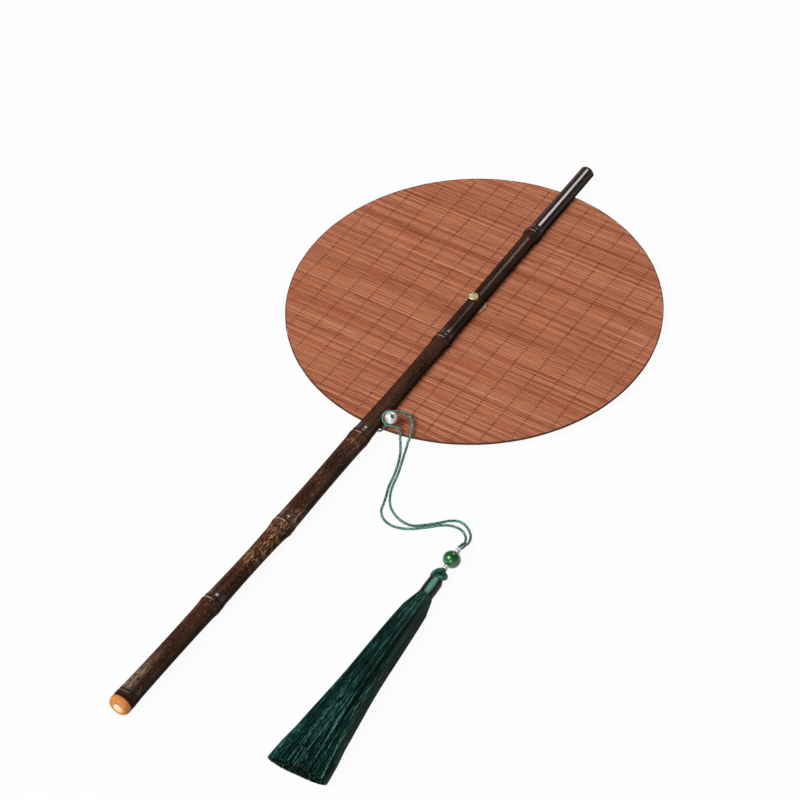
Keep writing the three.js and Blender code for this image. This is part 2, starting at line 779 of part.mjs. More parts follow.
function handleGroup() {
  const group = new THREE.Group();
  const cord = cordStretches();
  group.add(
    named("culm_grip", culmGrip(), darkBamboo),
    named("culm_planed", culmPlaned(), darkBamboo),
    named("butt_plug", buttPlug(), paleWood),
    named("pivot_pin", pivotPin(), brass),
    named("front_washer", frontWasher(), brass),
    named("rear_cap", rearCap(), brass),
    named("cord_stud", cordStud(), silver),
    named("stud_cord", cordTube(anchorRoute(), studCordDiameter, hitchStep), greenCord),
    named("cord_hitch", cordTube(cord.hitch, cordDiameter, hitchStep), greenCord),
    named("cord_strand_right", cordTube(cord.right), greenCord),
    named("cord_strand_left", cordTube(cord.left), greenCord),
  );
  return group;
}

function leafGroup() {
  const group = new THREE.Group();
  const loops = threadLoops();
  group.add(
    named("bamboo_mat", bambooMat(loops), sliverBamboo),
    named("rim_binding", rimBinding(), blackCloth),
    named("hub_eyelet", hubEyelet(), brass),
    ...loops.map((loop) => named(loop.name, bindingThread(loop), purpleThread)),
  );
  return group;
}

function tasselGroup() {
  const group = new THREE.Group();
  const places = tasselPlaces();
  group.position.copy(tasselPivot);
  group.rotation.z = THREE.MathUtils.degToRad(tasselTurn);
  group.add(
    named("core_cord", coreCord(places), greenCord),
    named("upper_spacer_bead", spacerBead(places.upperSpacer.middle), silver),
    named("jade_bead", jadeBead(places.jade.middle), jade),
    named("lower_spacer_bead", spacerBead(places.lowerSpacer.middle), silver),
    named("tassel_knot", tasselKnot(places), greenCord),
    named("neck_core", neckCore(places), darkSilk),
    named("neck_winding", neckWinding(places), darkSilk),
    named("tassel_skirt", tasselSkirt(places), darkSilk),
  );
  return group;
}

const fan = new THREE.Group();
fan.add(handleGroup(), leafGroup(), tasselGroup());
export default fan;
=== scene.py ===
# %% [markdown]
# # A round bamboo hand fan
# A disc of bamboo slivers is bound by rows of thread, as a window blind is. One brass pin holds it to a dark
# bamboo handle, and a doubled green cord carries a bead and a silk tassel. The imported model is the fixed
# frame: each piece here is made in metres where that model says, and rides on one of its bodies.

# %% Frame
import json
import math

import bmesh
import bpy
import numpy as np
from mathutils import Matrix, Vector


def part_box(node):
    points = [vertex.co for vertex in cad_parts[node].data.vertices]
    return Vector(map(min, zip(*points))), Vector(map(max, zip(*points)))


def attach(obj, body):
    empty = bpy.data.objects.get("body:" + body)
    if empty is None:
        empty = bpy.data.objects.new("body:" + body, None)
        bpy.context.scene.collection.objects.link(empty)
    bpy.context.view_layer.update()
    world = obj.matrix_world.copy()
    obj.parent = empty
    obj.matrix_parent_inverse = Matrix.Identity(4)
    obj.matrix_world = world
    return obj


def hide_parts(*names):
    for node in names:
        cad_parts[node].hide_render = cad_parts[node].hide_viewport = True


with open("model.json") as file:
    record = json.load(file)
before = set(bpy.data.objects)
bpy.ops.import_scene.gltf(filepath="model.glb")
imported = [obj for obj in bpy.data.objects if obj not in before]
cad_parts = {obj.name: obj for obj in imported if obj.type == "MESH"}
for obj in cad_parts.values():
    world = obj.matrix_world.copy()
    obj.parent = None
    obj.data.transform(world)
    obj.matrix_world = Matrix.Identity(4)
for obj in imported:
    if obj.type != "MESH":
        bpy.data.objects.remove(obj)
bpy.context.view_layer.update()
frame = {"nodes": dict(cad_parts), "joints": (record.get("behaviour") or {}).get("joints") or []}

scene = bpy.context.scene
nodes = frame["nodes"]
joints = {joint["name"]: joint for joint in frame["joints"]}
mm = 0.001
full_turn = 2 * math.pi


def set_out(name, data):
    """A new object in the scene."""
    thing = bpy.data.objects.new(name, data)
    scene.collection.objects.link(thing)
    return thing


# %% [markdown]
# ## Camera
# The photograph looks down at the fan from the lower right, at 46 degrees, through a long lens. The camera
# was fitted to the leaf's outline and the thread rows, so its place is given in numbers, not aimed by hand.

# %% Camera
eye = Vector((0.64625, -1.00116, 1.16915))
camera_azimuth, camera_elevation, camera_roll = 34.948, 46.09, -3.1055
camera_lens, camera_sensor = 135, 36
turns = (camera_azimuth, "Z"), (90 - camera_elevation, "X"), (camera_roll, "Z")
azimuth, tilt, roll = (Matrix.Rotation(math.radians(degrees), 4, axis) for degrees, axis in turns)
photo_camera = bpy.data.cameras.new("photo_camera")
photo_camera.lens = camera_lens
photo_camera.sensor_width = camera_sensor
scene.camera = set_out("photo_camera", photo_camera)
scene.camera.matrix_world = Matrix.Translation(eye) @ azimuth @ tilt @ roll
print("camera: lens", camera_lens, "mm at", [round(c, 3) for c in eye])

# %% [markdown]
# ## Node trees as arithmetic
# A finish or a growing rule is a tree of nodes. Written link by link it is hard to read, so one small class
# wraps a socket: sums and products of sockets add Math nodes, and any other node comes from one method.

# %% Sockets with operators
def pick(sockets, key):
    """The socket at a number, or with that identifier, or the first one in use with that name."""
    if isinstance(key, int):
        return sockets[key]
    for socket in sockets:
        if socket.identifier == key:
            return socket
    return next(s for s in sockets if s.name == key and s.enabled)


def spaced(values):
    """Named values under the names that sockets have, with spaces for underscores."""
    return {name.replace("_", " "): value for name, value in values.items()}


def operator(operation, swapped=False):
    """A method that adds one Math node."""
    def method(self, other=0.0):
        first, second = (other, self) if swapped else (self, other)
        return self.node("ShaderNodeMath", {"operation": operation}, {0: first, 1: second})

    return method


class Link:
    """A node tree's socket. Arithmetic adds Math nodes, and node() adds any other."""

    def __init__(self, tree, socket=None):
        self.tree = tree
        self.socket = socket

    def node(self, kind, settings=(), sockets=(), out=0):
        made = self.tree.nodes.new(kind)
        for name, value in dict(settings).items():
            if name == "stops":
                fill_ramp(made.color_ramp, value)
            elif name == "curve":
                fill_curve(made.mapping, value)
            else:
                setattr(made, name, value)
        for key, value in dict(sockets).items():
            self.join(pick(made.inputs, key), value)
        return Link(self.tree, pick(made.outputs, out)) if made.outputs else None

    def shape(self, kind, settings=(), **sockets):
        """A geometry node, with each value on the socket of its name."""
        return self.node("GeometryNode" + kind, settings, spaced(sockets))

    def join(self, socket, value):
        if isinstance(value, Link):
            self.tree.links.new(value.socket, socket)
        else:
            socket.default_value = value

    def other(self, name):
        return Link(self.tree, pick(self.socket.node.outputs, name))

    __add__ = __radd__ = operator("ADD")
    __sub__, __rsub__ = operator("SUBTRACT"), operator("SUBTRACT", swapped=True)
    __mul__ = __rmul__ = operator("MULTIPLY")
    __truediv__ = operator("DIVIDE")
    at_least, at_most = operator("MAXIMUM"), operator("MINIMUM")
    sin, cos, root = operator("SINE"), operator("COSINE"), operator("SQRT")
    __abs__, sign = operator("ABSOLUTE"), operator("SIGN")
    angle_from = operator("ARCTAN2")


# %% Ramps, curves and small shader helpers
def fill_ramp(ramp, stops):
    while len(ramp.elements) < len(stops):
        ramp.elements.new(1.0)
    for element, (place, colour) in zip(ramp.elements, stops):
        element.position = place
        element.color = colour


def fill_curve(mapping, points):
    curve = mapping.curves[0]
    while len(curve.points) < len(points):
        curve.points.new(0.5, 0.5)
    for point, place in zip(curve.points, points):
        point.location = place
        point.handle_type = "AUTO_CLAMPED"
    mapping.update()


def srgb(red, green, blue):
    def linear(c):
        return c / 12.92 if c <= 0.04045 else ((c + 0.055) / 1.055) ** 2.4

    return (*(linear(c / 255) for c in (red, green, blue)), 1.0)


def split(vector):
    x = vector.node("ShaderNodeSeparateXYZ", (), {"Vector": vector}, out="X")
    return x, x.other("Y"), x.other("Z")


def combine(start, x, y, z):
    return start.node("ShaderNodeCombineXYZ", (), {"X": x, "Y": y, "Z": z})


def noise(vector, detail=2.0, roughness=0.6):
    sockets = {"Vector": vector, "Scale": 1.0, "Detail": detail, "Roughness": roughness}
    return vector.node("ShaderNodeTexNoise", (), sockets)


def grain(place, scales, detail=2.0, roughness=0.6):
    """Noise with a scale of its own along x, y and z, or one for all three."""
    scales = scales if isinstance(scales, tuple) else (scales,) * 3
    stretched = place.node("ShaderNodeVectorMath", {"operation": "MULTIPLY"}, {0: place, 1: scales})
    return noise(stretched, detail, roughness)


def rise(value, low, high):
    settings = {"interpolation_type": "SMOOTHSTEP"}
    return value.node("ShaderNodeMapRange", settings, {"Value": value, "From Min": low, "From Max": high})


def mixed(factor, first, second):
    sockets = {"Factor_Float": factor, "A_Color": first, "B_Color": second}
    return factor.node("ShaderNodeMix", {"data_type": "RGBA"}, sockets, out="Result_Color")


def layered(colour, *layers):
    """Colours laid over one another, each given with its share."""
    for share, tint in layers:
        colour = mixed(share, colour, tint)
    return colour


def bumped(height, strength, distance):
    return height.node("ShaderNodeBump", (), {"Height": height, "Strength": strength, "Distance": distance})


def own_value(start, name):
    return start.node("ShaderNodeAttribute", {"attribute_name": name}, out="Fac")


def along_run(start):
    """The map of a skin: how far round it, and how far along."""
    return split(start.node("ShaderNodeUVMap", {"uv_map": "run"}))[:2]


def surface(name, looks, *details, **settings):
    """A finish. Settings are plain numbers, and looks makes what varies from the object's own place."""
    finish = bpy.data.materials.new(name)
    finish.use_nodes = True
    shader = finish.node_tree.nodes["Principled BSDF"]
    place = Link(finish.node_tree).node("ShaderNodeTexCoord", out="Object")
    for socket, value in (spaced(settings) | looks(place, *details)).items():
        place.join(shader.inputs[socket], value)
    print("finish:", name)
    return finish


print("helpers ready: sockets, ramps, noise, bump")

# %% [markdown]
# ## Skins and turned shapes
# Most pieces are either a skin over rings of points, such as a cord or the handle, or a profile turned about
# an axis, such as the pin. Both end in the same small mesh maker, which turns the faces outwards by the sign
# of the enclosed volume.

# %% Mesh makers
weld_distance = 1e-7


def mesh_of(corners, faces, corner_uvs=None, sharp_degrees=40):
    mesh = bpy.data.meshes.new("skin")
    mesh.from_pydata(np.asarray(corners, float).tolist(), [], faces)
    if corner_uvs is not None:
        layer = mesh.uv_layers.new(name="run")
        layer.data.foreach_set("uv", np.asarray(corner_uvs, np.float32).ravel())
    work = bmesh.new()
    work.from_mesh(mesh)
    bmesh.ops.remove_doubles(work, verts=work.verts, dist=weld_distance)
    bmesh.ops.dissolve_degenerate(work, edges=work.edges, dist=weld_distance)
    if work.calc_volume(signed=True) < 0:
        bmesh.ops.reverse_faces(work, faces=work.faces)
    work.to_mesh(mesh)
    work.free()
    mesh.shade_smooth()
    mesh.set_sharp_from_angle(angle=math.radians(sharp_degrees))
    return mesh


def ring_faces(count, sides, loop=False):
    """Four-sided faces between rings of points, one ring after another."""
    faces = []
    for i in range(count if loop else count - 1):
        here, after = i * sides, (i + 1) % count * sides
        for j in range(sides):
            k = (j + 1) % sides
            faces.append((here + j, here + k, after + k, after + j))
    return faces


def skin(rings, run=None, loop=False, sharp_degrees=40):
    rings = np.asarray(rings, float)
    count, sides = rings.shape[:2]
    run = list(np.linspace(0, 1, count) if run is None else run)
    run.append(2 * run[-1] - run[-2])
    faces, uvs = ring_faces(count, sides, loop), []
    for near_v, far_v in zip(run, run[1:] if loop else run[1:count]):
        for j in range(sides):
            near_u, far_u = j / sides, (j + 1) / sides
            uvs += [(near_u, near_v), (far_u, near_v), (far_u, far_v), (near_u, far_v)]
    if not loop:
        last = (count - 1) * sides
        faces += [tuple(range(sides))[::-1], tuple(range(last, last + sides))]
        uvs += [(j / sides, run[0]) for j in range(sides)][::-1]
        uvs += [(j / sides, run[count - 1]) for j in range(sides)]
    return mesh_of(rings.reshape(-1, 3), faces, uvs, sharp_degrees)


def path_frames(path, loop=False):
    """Two directions across a path at each of its points, which twist as little as they can."""
    ahead = np.roll(path, -1, 0) - np.roll(path, 1, 0)
    if not loop:
        ahead[0], ahead[-1] = path[1] - path[0], path[-1] - path[-2]
    ahead /= np.linalg.norm(ahead, axis=1)[:, None]
    across = np.zeros_like(path)
    seed = np.cross(ahead[0], (0, 0, 1))
    seed = seed if np.linalg.norm(seed) > 0.1 else np.cross(ahead[0], (0, 1, 0))
    for i, direction in enumerate(ahead):
        seed = seed - direction * seed.dot(direction)
        seed /= np.linalg.norm(seed)
        across[i] = seed
    return across, np.cross(ahead, across)


def path_lengths(path):
    steps = np.linalg.norm(np.diff(np.asarray(path, float), axis=0), axis=1)
    return np.concatenate([[0], np.cumsum(steps)])


def tube(path, radius, sides, loop=False):
    path = np.asarray(path, float)
    across, beside = (part[:, None] for part in path_frames(path, loop))
    angles = (full_turn * np.arange(sides) / sides)[None, :, None]
    radii = np.broadcast_to(radius, len(path))
    rings = path[:, None] + radii[:, None, None] * (np.cos(angles) * across + np.sin(angles) * beside)
    return skin(rings, path_lengths(path) / (full_turn * np.max(radii)), loop)


# %% Turned shapes
def arc_corners(profile, radius, steps=4):
    """Rounds the corners of a closed profile of (radius, height) pairs."""
    rounded = []
    for i, corner in enumerate(profile):
        corner = np.array(corner, float)
        if corner[0] == 0:
            rounded.append(tuple(corner))
            continue
        before = np.array(profile[i - 1], float) - corner
        after = np.array(profile[(i + 1) % len(profile)], float) - corner
        reach = min(radius, np.linalg.norm(before) / 2, np.linalg.norm(after) / 2)
        start = corner + before / np.linalg.norm(before) * reach
        end = corner + after / np.linalg.norm(after) * reach
        for t in np.linspace(0, 1, steps + 1):
            point = (1 - t) ** 2 * start + 2 * t * (1 - t) * corner + t**2 * end
            rounded.append((max(point[0], 0), point[1]))
    return rounded


def turned(profile, foot, axis, segments, ring=False):
    """A profile of (radius, height) pairs in mm, turned about the axis through a foot."""
    turn = Vector((0, 0, 1)).rotation_difference(Vector(axis).normalized()).to_matrix()
    rows = [*profile, profile[0]] if ring else profile
    corners = []
    for radius, height in rows:
        for j in range(segments):
            angle = full_turn * j / segments
            point = Vector((radius * mm * math.cos(angle), radius * mm * math.sin(angle), height * mm))
            corners.append(turn @ point + Vector(foot))
    return mesh_of(corners, ring_faces(len(rows), segments))


# %% Pieces
def lay_piece(name, mesh, finish, body, slot, *stands_for):
    mesh.name = name
    piece = set_out(name, mesh)
    if not mesh.materials:
        mesh.materials.append(finish)
    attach(piece, body)
    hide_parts(*stands_for)
    triangles = sum(len(face.vertices) - 2 for face in mesh.polygons)
    print(f"{name}: {triangles} triangles on {body}, for {len(stands_for)} node(s)")
    return piece


def middle_of(node):
    low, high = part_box(node)
    return (low + high) / 2


def plain_mesh(maker):
    """What an object's modifiers make of it, as a mesh of its own."""
    bpy.context.view_layer.update()
    return bpy.data.meshes.new_from_object(maker.evaluated_get(bpy.context.evaluated_depsgraph_get()))


def corners_of(mesh):
    places = np.empty(len(mesh.vertices) * 3, np.float32)
    mesh.vertices.foreach_get("co", places)
    return places.reshape(-1, 3)


def paint(mesh, name, values):
    layer = mesh.attributes.new(name, "FLOAT", "POINT")
    layer.data.foreach_set("value", np.asarray(values, np.float32))


# %% [markdown]
# ## Cord
# One thin braided cord is folded in two: it loops round the silver stud and its two strands run down to the
# beads. A limp cord keeps its length and lies where it falls, so its route is the model's own, point by
# point. A smooth curve through those points is skinned as a tube, with a map along and round it.

# %% Cord finish
plait_strands, plait_pitch = 3, 1.4


def cord_looks(place):
    around, along = along_run(place)
    wander = noise(combine(place, around * 2, along * 0.9, 4.0), 2.0, 0.5)
    slant = full_turn * (plait_strands * around) + 2.2 * wander
    pitch = full_turn * (plait_pitch * along)
    plait = (slant + pitch).sin().at_least((slant - pitch).sin())
    fibre = noise(combine(place, around * 26, along * 9, 0.0), 3.0)
    lit = rise(plait * 0.2 + fibre * 0.9 + wander * 0.7, 0.62, 1.15)
    colour = mixed(lit, srgb(14, 48, 42), srgb(124, 188, 166))
    return {"Base Color": colour, "Normal": bumped(plait + fibre * 0.4, 0.5, 0.0002)}


cord_braid = surface("cord_braid", cord_looks, Roughness=0.6, Specular_IOR_Level=0.3)

# %% Cord route, as in the model
# A point with two numbers lies on the table, at the height named here
cord_diameter = 1.4 * mm
table_height = 0.8
strand_right = [
    (9.3, -95.1, 9.95), (11.1, -92.9, 9), (13.2, -91.4, 8), (15.8, -91.2, 7.2), (18.3, -92.8, 6.7),
    (20.5, -95.7, 6.5), (22.4, -99, 6.4), (23.8, -102.6, 6), (24.5, -106.2, 4.4), (25.2, -109.4, 2.3),
    (26, -112.8, 1), (27.6, -117.4), (30.6, -126.3), (32.7, -134.6), (35.2, -140.6), (38.4, -145.6),
    (42.1, -149), (46.6, -151.4), (51.6, -152.6), (56.4, -152.2), (60.2, -149.8), (63.9, -146.7),
    (67.6, -143.2), (71.6, -139.3), (76, -137.3), (81.4, -138.6), (86, -142.4), (88.4, -148, 2),
    (88.9, -152, 4.2), (88.9, -155.5, 5.1),
]
strand_left = [
    (13.2, -101.6, 6.35), (14.8, -101.35, 6.2), (16.3, -101.8, 6.2), (17.5, -102.9, 6.1), (18.5, -104.4, 5.8),
    (19.9, -106.7, 4.8), (21.4, -108.9, 2.7), (23.2, -112, 1), (25.9, -117.9), (28.9, -126.8),
    (30.95, -135.15), (33.3, -141.3), (35.2, -146.8), (36.8, -151.6), (40.6, -155.7), (46, -157.6),
    (51.6, -157), (57.4, -154.2), (61.3, -151.2), (65, -148.1), (68.7, -144.7), (72.2, -142.6), (76, -141.6),
    (80.2, -141.9), (84.3, -144.6), (86.6, -148.9, 2), (87.1, -152.5, 4.2), (87.1, -155.5, 5.1),
]
strand_right, strand_left = (
    [(*point, table_height)[:3] for point in strand] for strand in (strand_right, strand_left)
)
stud_diameter = 7
stud_axis = Vector((0.5, -0.25, 0.83)).normalized()
stud_middle = middle_of("cord_stud")
hitch_opening = Vector((0.82, 0.573, 0))
hitch_offset, hitch_gap = -2, 0.3
hitch_angles = np.radians(np.linspace(85, 262, 9))
route_steps = 10


def hitch_points():
    """The part of a circle that the cord takes round the stud."""
    opening = (hitch_opening - hitch_opening.dot(stud_axis) * stud_axis).normalized()
    upward = stud_axis.cross(opening)
    reach = stud_diameter / 2 + hitch_gap + cord_diameter / mm / 2
    radius = math.sqrt(reach**2 - hitch_offset**2)
    centre = stud_middle / mm + hitch_offset * stud_axis
    return [tuple(centre + radius * (math.cos(a) * opening + math.sin(a) * upward)) for a in hitch_angles]


def smooth_route(points):
    """A centripetal curve through the points, which doesn't overshoot at close ones."""
    points = [np.array(p, float) for p in points]
    ends = [2 * points[0] - points[1], *points, 2 * points[-1] - points[-2]]
    route = []
    for a, b, c, d in zip(ends, ends[1:], ends[2:], ends[3:]):
        ta, tb, tc = (np.linalg.norm(q - p) ** 0.5 for p, q in ((a, b), (b, c), (c, d)))
        into = ((b - a) / ta - (c - a) / (ta + tb) + (c - b) / tb) * tb
        away = ((c - b) / tb - (d - b) / (tb + tc) + (d - c) / tc) * tb
        for t in np.arange(route_steps) / route_steps:
            t2, t3 = t * t, t**3
            point = (2 * t3 - 3 * t2 + 1) * b + (t3 - 2 * t2 + t) * into
            route.append(point + (3 * t2 - 2 * t3) * c + (t3 - t2) * away)
    return np.array([*route, points[-1]])


whole_route = smooth_route([*strand_right[::-1], *hitch_points(), *strand_left]) * mm
turning = (len(strand_right) + len(hitch_angles) - 1) * route_steps
print("cord route:", len(whole_route), "points,", round(path_lengths(whole_route)[-1], 4), "m in all")

# %% Cord pieces
cord_sides = 12
right_path, left_path = whole_route[turning::-1], whole_route[turning:]
cord_right = lay_piece(
    "cord_right", tube(right_path, cord_diameter / 2, cord_sides), cord_braid,
    "handle", "green_cord", "cord_hitch", "cord_strand_right",
)
cord_left = lay_piece(
    "cord_left", tube(left_path, cord_diameter / 2, cord_sides), cord_braid,
    "handle", "green_cord", "cord_strand_left",
)

# %% [markdown]
# ## Handle
# The handle is one bamboo culm with a ring at each joint: a swelling below it, the pale scar of the old
# sheath, a sharp groove, and a milder ridge above. It is a skin over rings whose radius follows those rules,
# with the rings close together at the joints. Behind the leaf it is planed flat, so the rings are D-shaped.

# %% Culm sizes, as in the model
# A stretch has a length, a radius at its foot and at its top, a waist, a flare and the ridge of its joint
culm_stretches = [
    (7.3, 6, 5.9, 0, 0, 0.15), (70.6, 5.75, 5.45, 0.25, 0.15, 0.35), (62.4, 5.5, 5.2, 0.33, 0.6, 0.3),
    (72.5, 5.9, 5.6, 0.3, 0, 0.3), (83.5, 5.4, 4.8, 0.42, 0, 0.7), (98, 4.8, 4.45, 0.15, 0.2, 0.75),
    (63, 4.55, 4.25, 0.02, 0, 0),
]
culm_offsets = [-1.3, -1.2, 0.2, 1.6, 1.25, 0.85, 0, -0.3]
pin_joint, pin_above = 5, 35
flare_length = 9
ridge_along = [-6, -5, -3.6, -2.4, -1.4, -0.8, -0.35, -0.1, 0.12, 0.4, 0.7, 1.1, 1.6, 2.2, 2.8, 3.4, 4.4, 5.5]
ridge_share = [0, 0.04, 0.22, 0.5, 0.78, 0.9, 0.98, 1, 0.9, 0.45, 0.34, 0.36, 0.5, 0.6, 0.55, 0.38, 0.14, 0]
butt_along, butt_across = 2.6, 1.7
tip_rings = ((0.8, 0), (0.66, 0.05), (0.05, 0.66), (0, 0.76))
tip_room = 0.9
shoulder = -105.8
flat_height = 5.7
lengths = [stretch[0] for stretch in culm_stretches]
joint_places = np.concatenate([[0], np.cumsum(lengths)]) - sum(lengths[:pin_joint]) - pin_above
inner_joints = joint_places[1:-1]
butt_end, tip_end = joint_places[0], joint_places[-1]
stretch_pairs = zip(culm_stretches, culm_stretches[1:])
joint_crests = [max(low[2] + low[4], high[1]) + low[5] for low, high in stretch_pairs]
axis_height = max(joint_crests)
print("culm joints, mm:", [round(float(p), 1) for p in joint_places], "axis height", round(axis_height, 2))


# %% Culm rings
def culm_radius(place):
    i = int(np.clip(np.searchsorted(joint_places, place) - 1, 0, len(culm_stretches) - 1))
    length, low, high, waist, flare, _ = culm_stretches[i]
    t = (place - joint_places[i]) / length
    plain = low + (high - low) * t - waist * math.sin(math.pi * t)
    plain += flare * math.exp((place - joint_places[i + 1]) / flare_length)
    for joint, crest in zip(inner_joints, joint_crests):
        share = np.interp(place - joint, ridge_along, ridge_share, 0, 0)
        plain += (crest - plain) * share
    return plain


def culm_offset(place):
    return float(np.interp(place, joint_places, culm_offsets))


arc_points, back_points = 41, 17
ring_step, close_step, close_reach = 2.5, 0.2, 6
butt_rings = 10


def culm_ring(place, radius, planed):
    dip = math.asin((flat_height - axis_height) / radius)
    upper = np.linspace(dip, math.pi - dip, arc_points)
    across, height = radius * np.cos(upper), radius * np.sin(upper)
    if planed:
        back_across = np.linspace(across[-1], across[0], back_points + 2)[1:-1]
        back_height = np.full(back_points, height[0])
    else:
        lower = np.linspace(math.pi - dip, full_turn + dip, back_points + 2)[1:-1]
        back_across, back_height = radius * np.cos(lower), radius * np.sin(lower)
    x = culm_offset(place) + np.concatenate([across, back_across])
    z = axis_height + np.concatenate([height, back_height])
    return np.stack([x, np.full_like(x, place), z], axis=1) * mm


def culm_places():
    low, high = butt_end + butt_along, tip_end - tip_room
    close = [joint + np.arange(-close_reach, close_reach + 0.01, close_step) for joint in inner_joints]
    places = np.concatenate([np.arange(low, high, ring_step), *close])
    places = places[(places > low) & (places < high)]
    return np.unique(np.round(places, 2))


def culm_rings():
    rings = []
    for angle in np.linspace(0, math.pi / 2, butt_rings):
        place = butt_end + butt_along * (1 - math.cos(angle))
        rings.append(culm_ring(place, culm_radius(butt_end) - butt_across * (1 - math.sin(angle)), False))
    places = culm_places()
    rings += [culm_ring(p, culm_radius(p), False) for p in places if p < shoulder]
    rings += [culm_ring(shoulder, culm_radius(shoulder), planed) for planed in (False, True)]
    rings += [culm_ring(p, culm_radius(p), True) for p in places if p > shoulder]
    rings += [culm_ring(tip_end - inset, culm_radius(tip_end) - shrink, True) for inset, shrink in tip_rings]
    return rings


# %% Culm with its bores
def carved(mesh, cutters):
    maker = set_out("carving", mesh)
    tools = [set_out("cutter", cutter) for cutter in cutters]
    for tool in tools:
        cut = maker.modifiers.new("cut", "BOOLEAN")
        cut.operation = "DIFFERENCE"
        cut.solver = "EXACT"
        cut.object = tool
    done = plain_mesh(maker)
    for thing in (maker, *tools):
        bpy.data.objects.remove(thing)
    return done


def bore(radius, foot, axis, low, high, segments=32):
    return turned([(0, low), (radius, low), (radius, high), (0, high)], foot, axis, segments)


pin_foot, pin_axis = (0, 0, 0), (0, 0, 1)
hub_bore, overrun = 1.8, 5
spot_radius, spot_depth = 3.0, 0.6
plug_bore, plug_depth = 2.5, 12.3
tie_bore, tie_depth = 0.85, 3.7
tie_place, tie_drop = -108.2, 0.6
crown = axis_height + culm_radius(0)
butt_foot = Vector((culm_offset(butt_end), butt_end, axis_height)) * mm
tie_side = culm_offset(tie_place) + culm_radius(tie_place)
tie_mouth = Vector((tie_side, tie_place, axis_height - tie_drop)) * mm
culm_mesh = carved(skin(culm_rings(), sharp_degrees=50), [
    bore(hub_bore, pin_foot, pin_axis, 0, crown + overrun),
    bore(spot_radius, pin_foot, pin_axis, crown - spot_depth, crown + overrun),
    bore(plug_bore, butt_foot, (0, 1, 0), -overrun, plug_depth),
    bore(tie_bore, tie_mouth, (1, 0, 0), -tie_depth, overrun),
])
print("culm:", len(culm_mesh.vertices), "corners")

# %% [markdown]
# The culm's skin changes along its length: pale scars at the joints, tan mottling on the grip, a dusted
# stretch above the butt with a painted sheen on its left side, and a bare orange end. Painted shade darkens
# the groove above each joint, the flanks away from the crown and the right side, where the scars also fade
# out. Those are worked out here for each corner from its place along the culm, and kept as named values on
# the mesh that the finish reads.

# %% Values painted on the culm
def bell(places, centre, width):
    return np.exp(-(((places - centre) / width) ** 2))


def fade(places, low, high):
    t = np.clip((places - low) / (high - low), 0, 1)
    return t * t * (3 - 2 * t)


def at_joints(shift, width):
    return sum(bell(along_culm, joint + shift, width) for joint in inner_joints)


# Where each change begins and ends, in mm from the pin or, for the butt's own, above the butt
mottle_from, mottle_thins, mottle_to = (-325, -300), (-140, -112), (-45, -30)
top_from = (58, 68)
dust_and_sheen_from, dust_and_sheen_to = (8, 11), (14, 46)
bare_to, band_from, band_to = (2.9, 3.5), (3.1, 3.6), (5.6, 6.2)
weak_scar_below, weak_scar = 12, 0.3
mottle_patches = [(2, -16, 20, 0.5), (2, 6, 9, 0.5), (1, -6, 12, 0.2), (3, -5, 10, 0.3)]

culm_corners = corners_of(culm_mesh) / mm
along_culm = culm_corners[:, 1]
above_butt = along_culm - butt_end
girth = np.array([culm_radius(place) for place in along_culm])
middle_line = np.array([culm_offset(place) for place in along_culm])
up_side = (culm_corners[:, 2] - axis_height) / girth
right_side = (culm_corners[:, 0] - middle_line) / girth
# The crown is the upper side, leaning a little to the right. Away from it the finish paints shade on the
# flanks, and the crown also carries the coat
crown_side = fade(0.96 * up_side + 0.28 * right_side, 0.5, 0.86)
top_stretch = fade(along_culm, *top_from)
# The pale scar shows on the left and fades out towards the right side: painted shade over it there
scar = at_joints(-0.05, 0.36) * (1 - fade(right_side, 0.1, 0.5))
scar[above_butt < weak_scar_below] *= weak_scar
mottle = 0.45 * fade(along_culm, *mottle_from) * (1 - 0.6 * fade(along_culm, *mottle_thins))
mottle *= 1 - fade(along_culm, *mottle_to)
for joint, shift, width, share in mottle_patches:
    mottle += share * bell(along_culm, inner_joints[joint] + shift, width)
# Dust above the butt together with a painted sheen, kept to the left side, where the light falls
dust = fade(above_butt, *dust_and_sheen_from) * (1 - fade(above_butt, *dust_and_sheen_to)) * (1 - fade(right_side, -0.1, 0.5))
painted = {
    "scar": scar, "groove": at_joints(0.75, 0.5), "mottle": mottle, "dust": dust,
    "bare": 1 - fade(above_butt, *bare_to),
    "band": fade(above_butt, *band_from) * (1 - fade(above_butt, *band_to)),
    "gloss": crown_side * (0.2 + 0.8 * top_stretch + at_joints(4.5, 3.2)),
    "crown": crown_side, "right": fade(right_side, -0.3, 0.5),
    "smooth": 0.5 * fade(along_culm, *mottle_to) + 0.5 * top_stretch,
}
for name, values in painted.items():
    paint(culm_mesh, name, np.clip(values, 0, 1))
print("painted:", ", ".join(painted))

# %% Culm finish
plug_ring_from, plug_ring_to = 3.9 * mm, 2.8 * mm


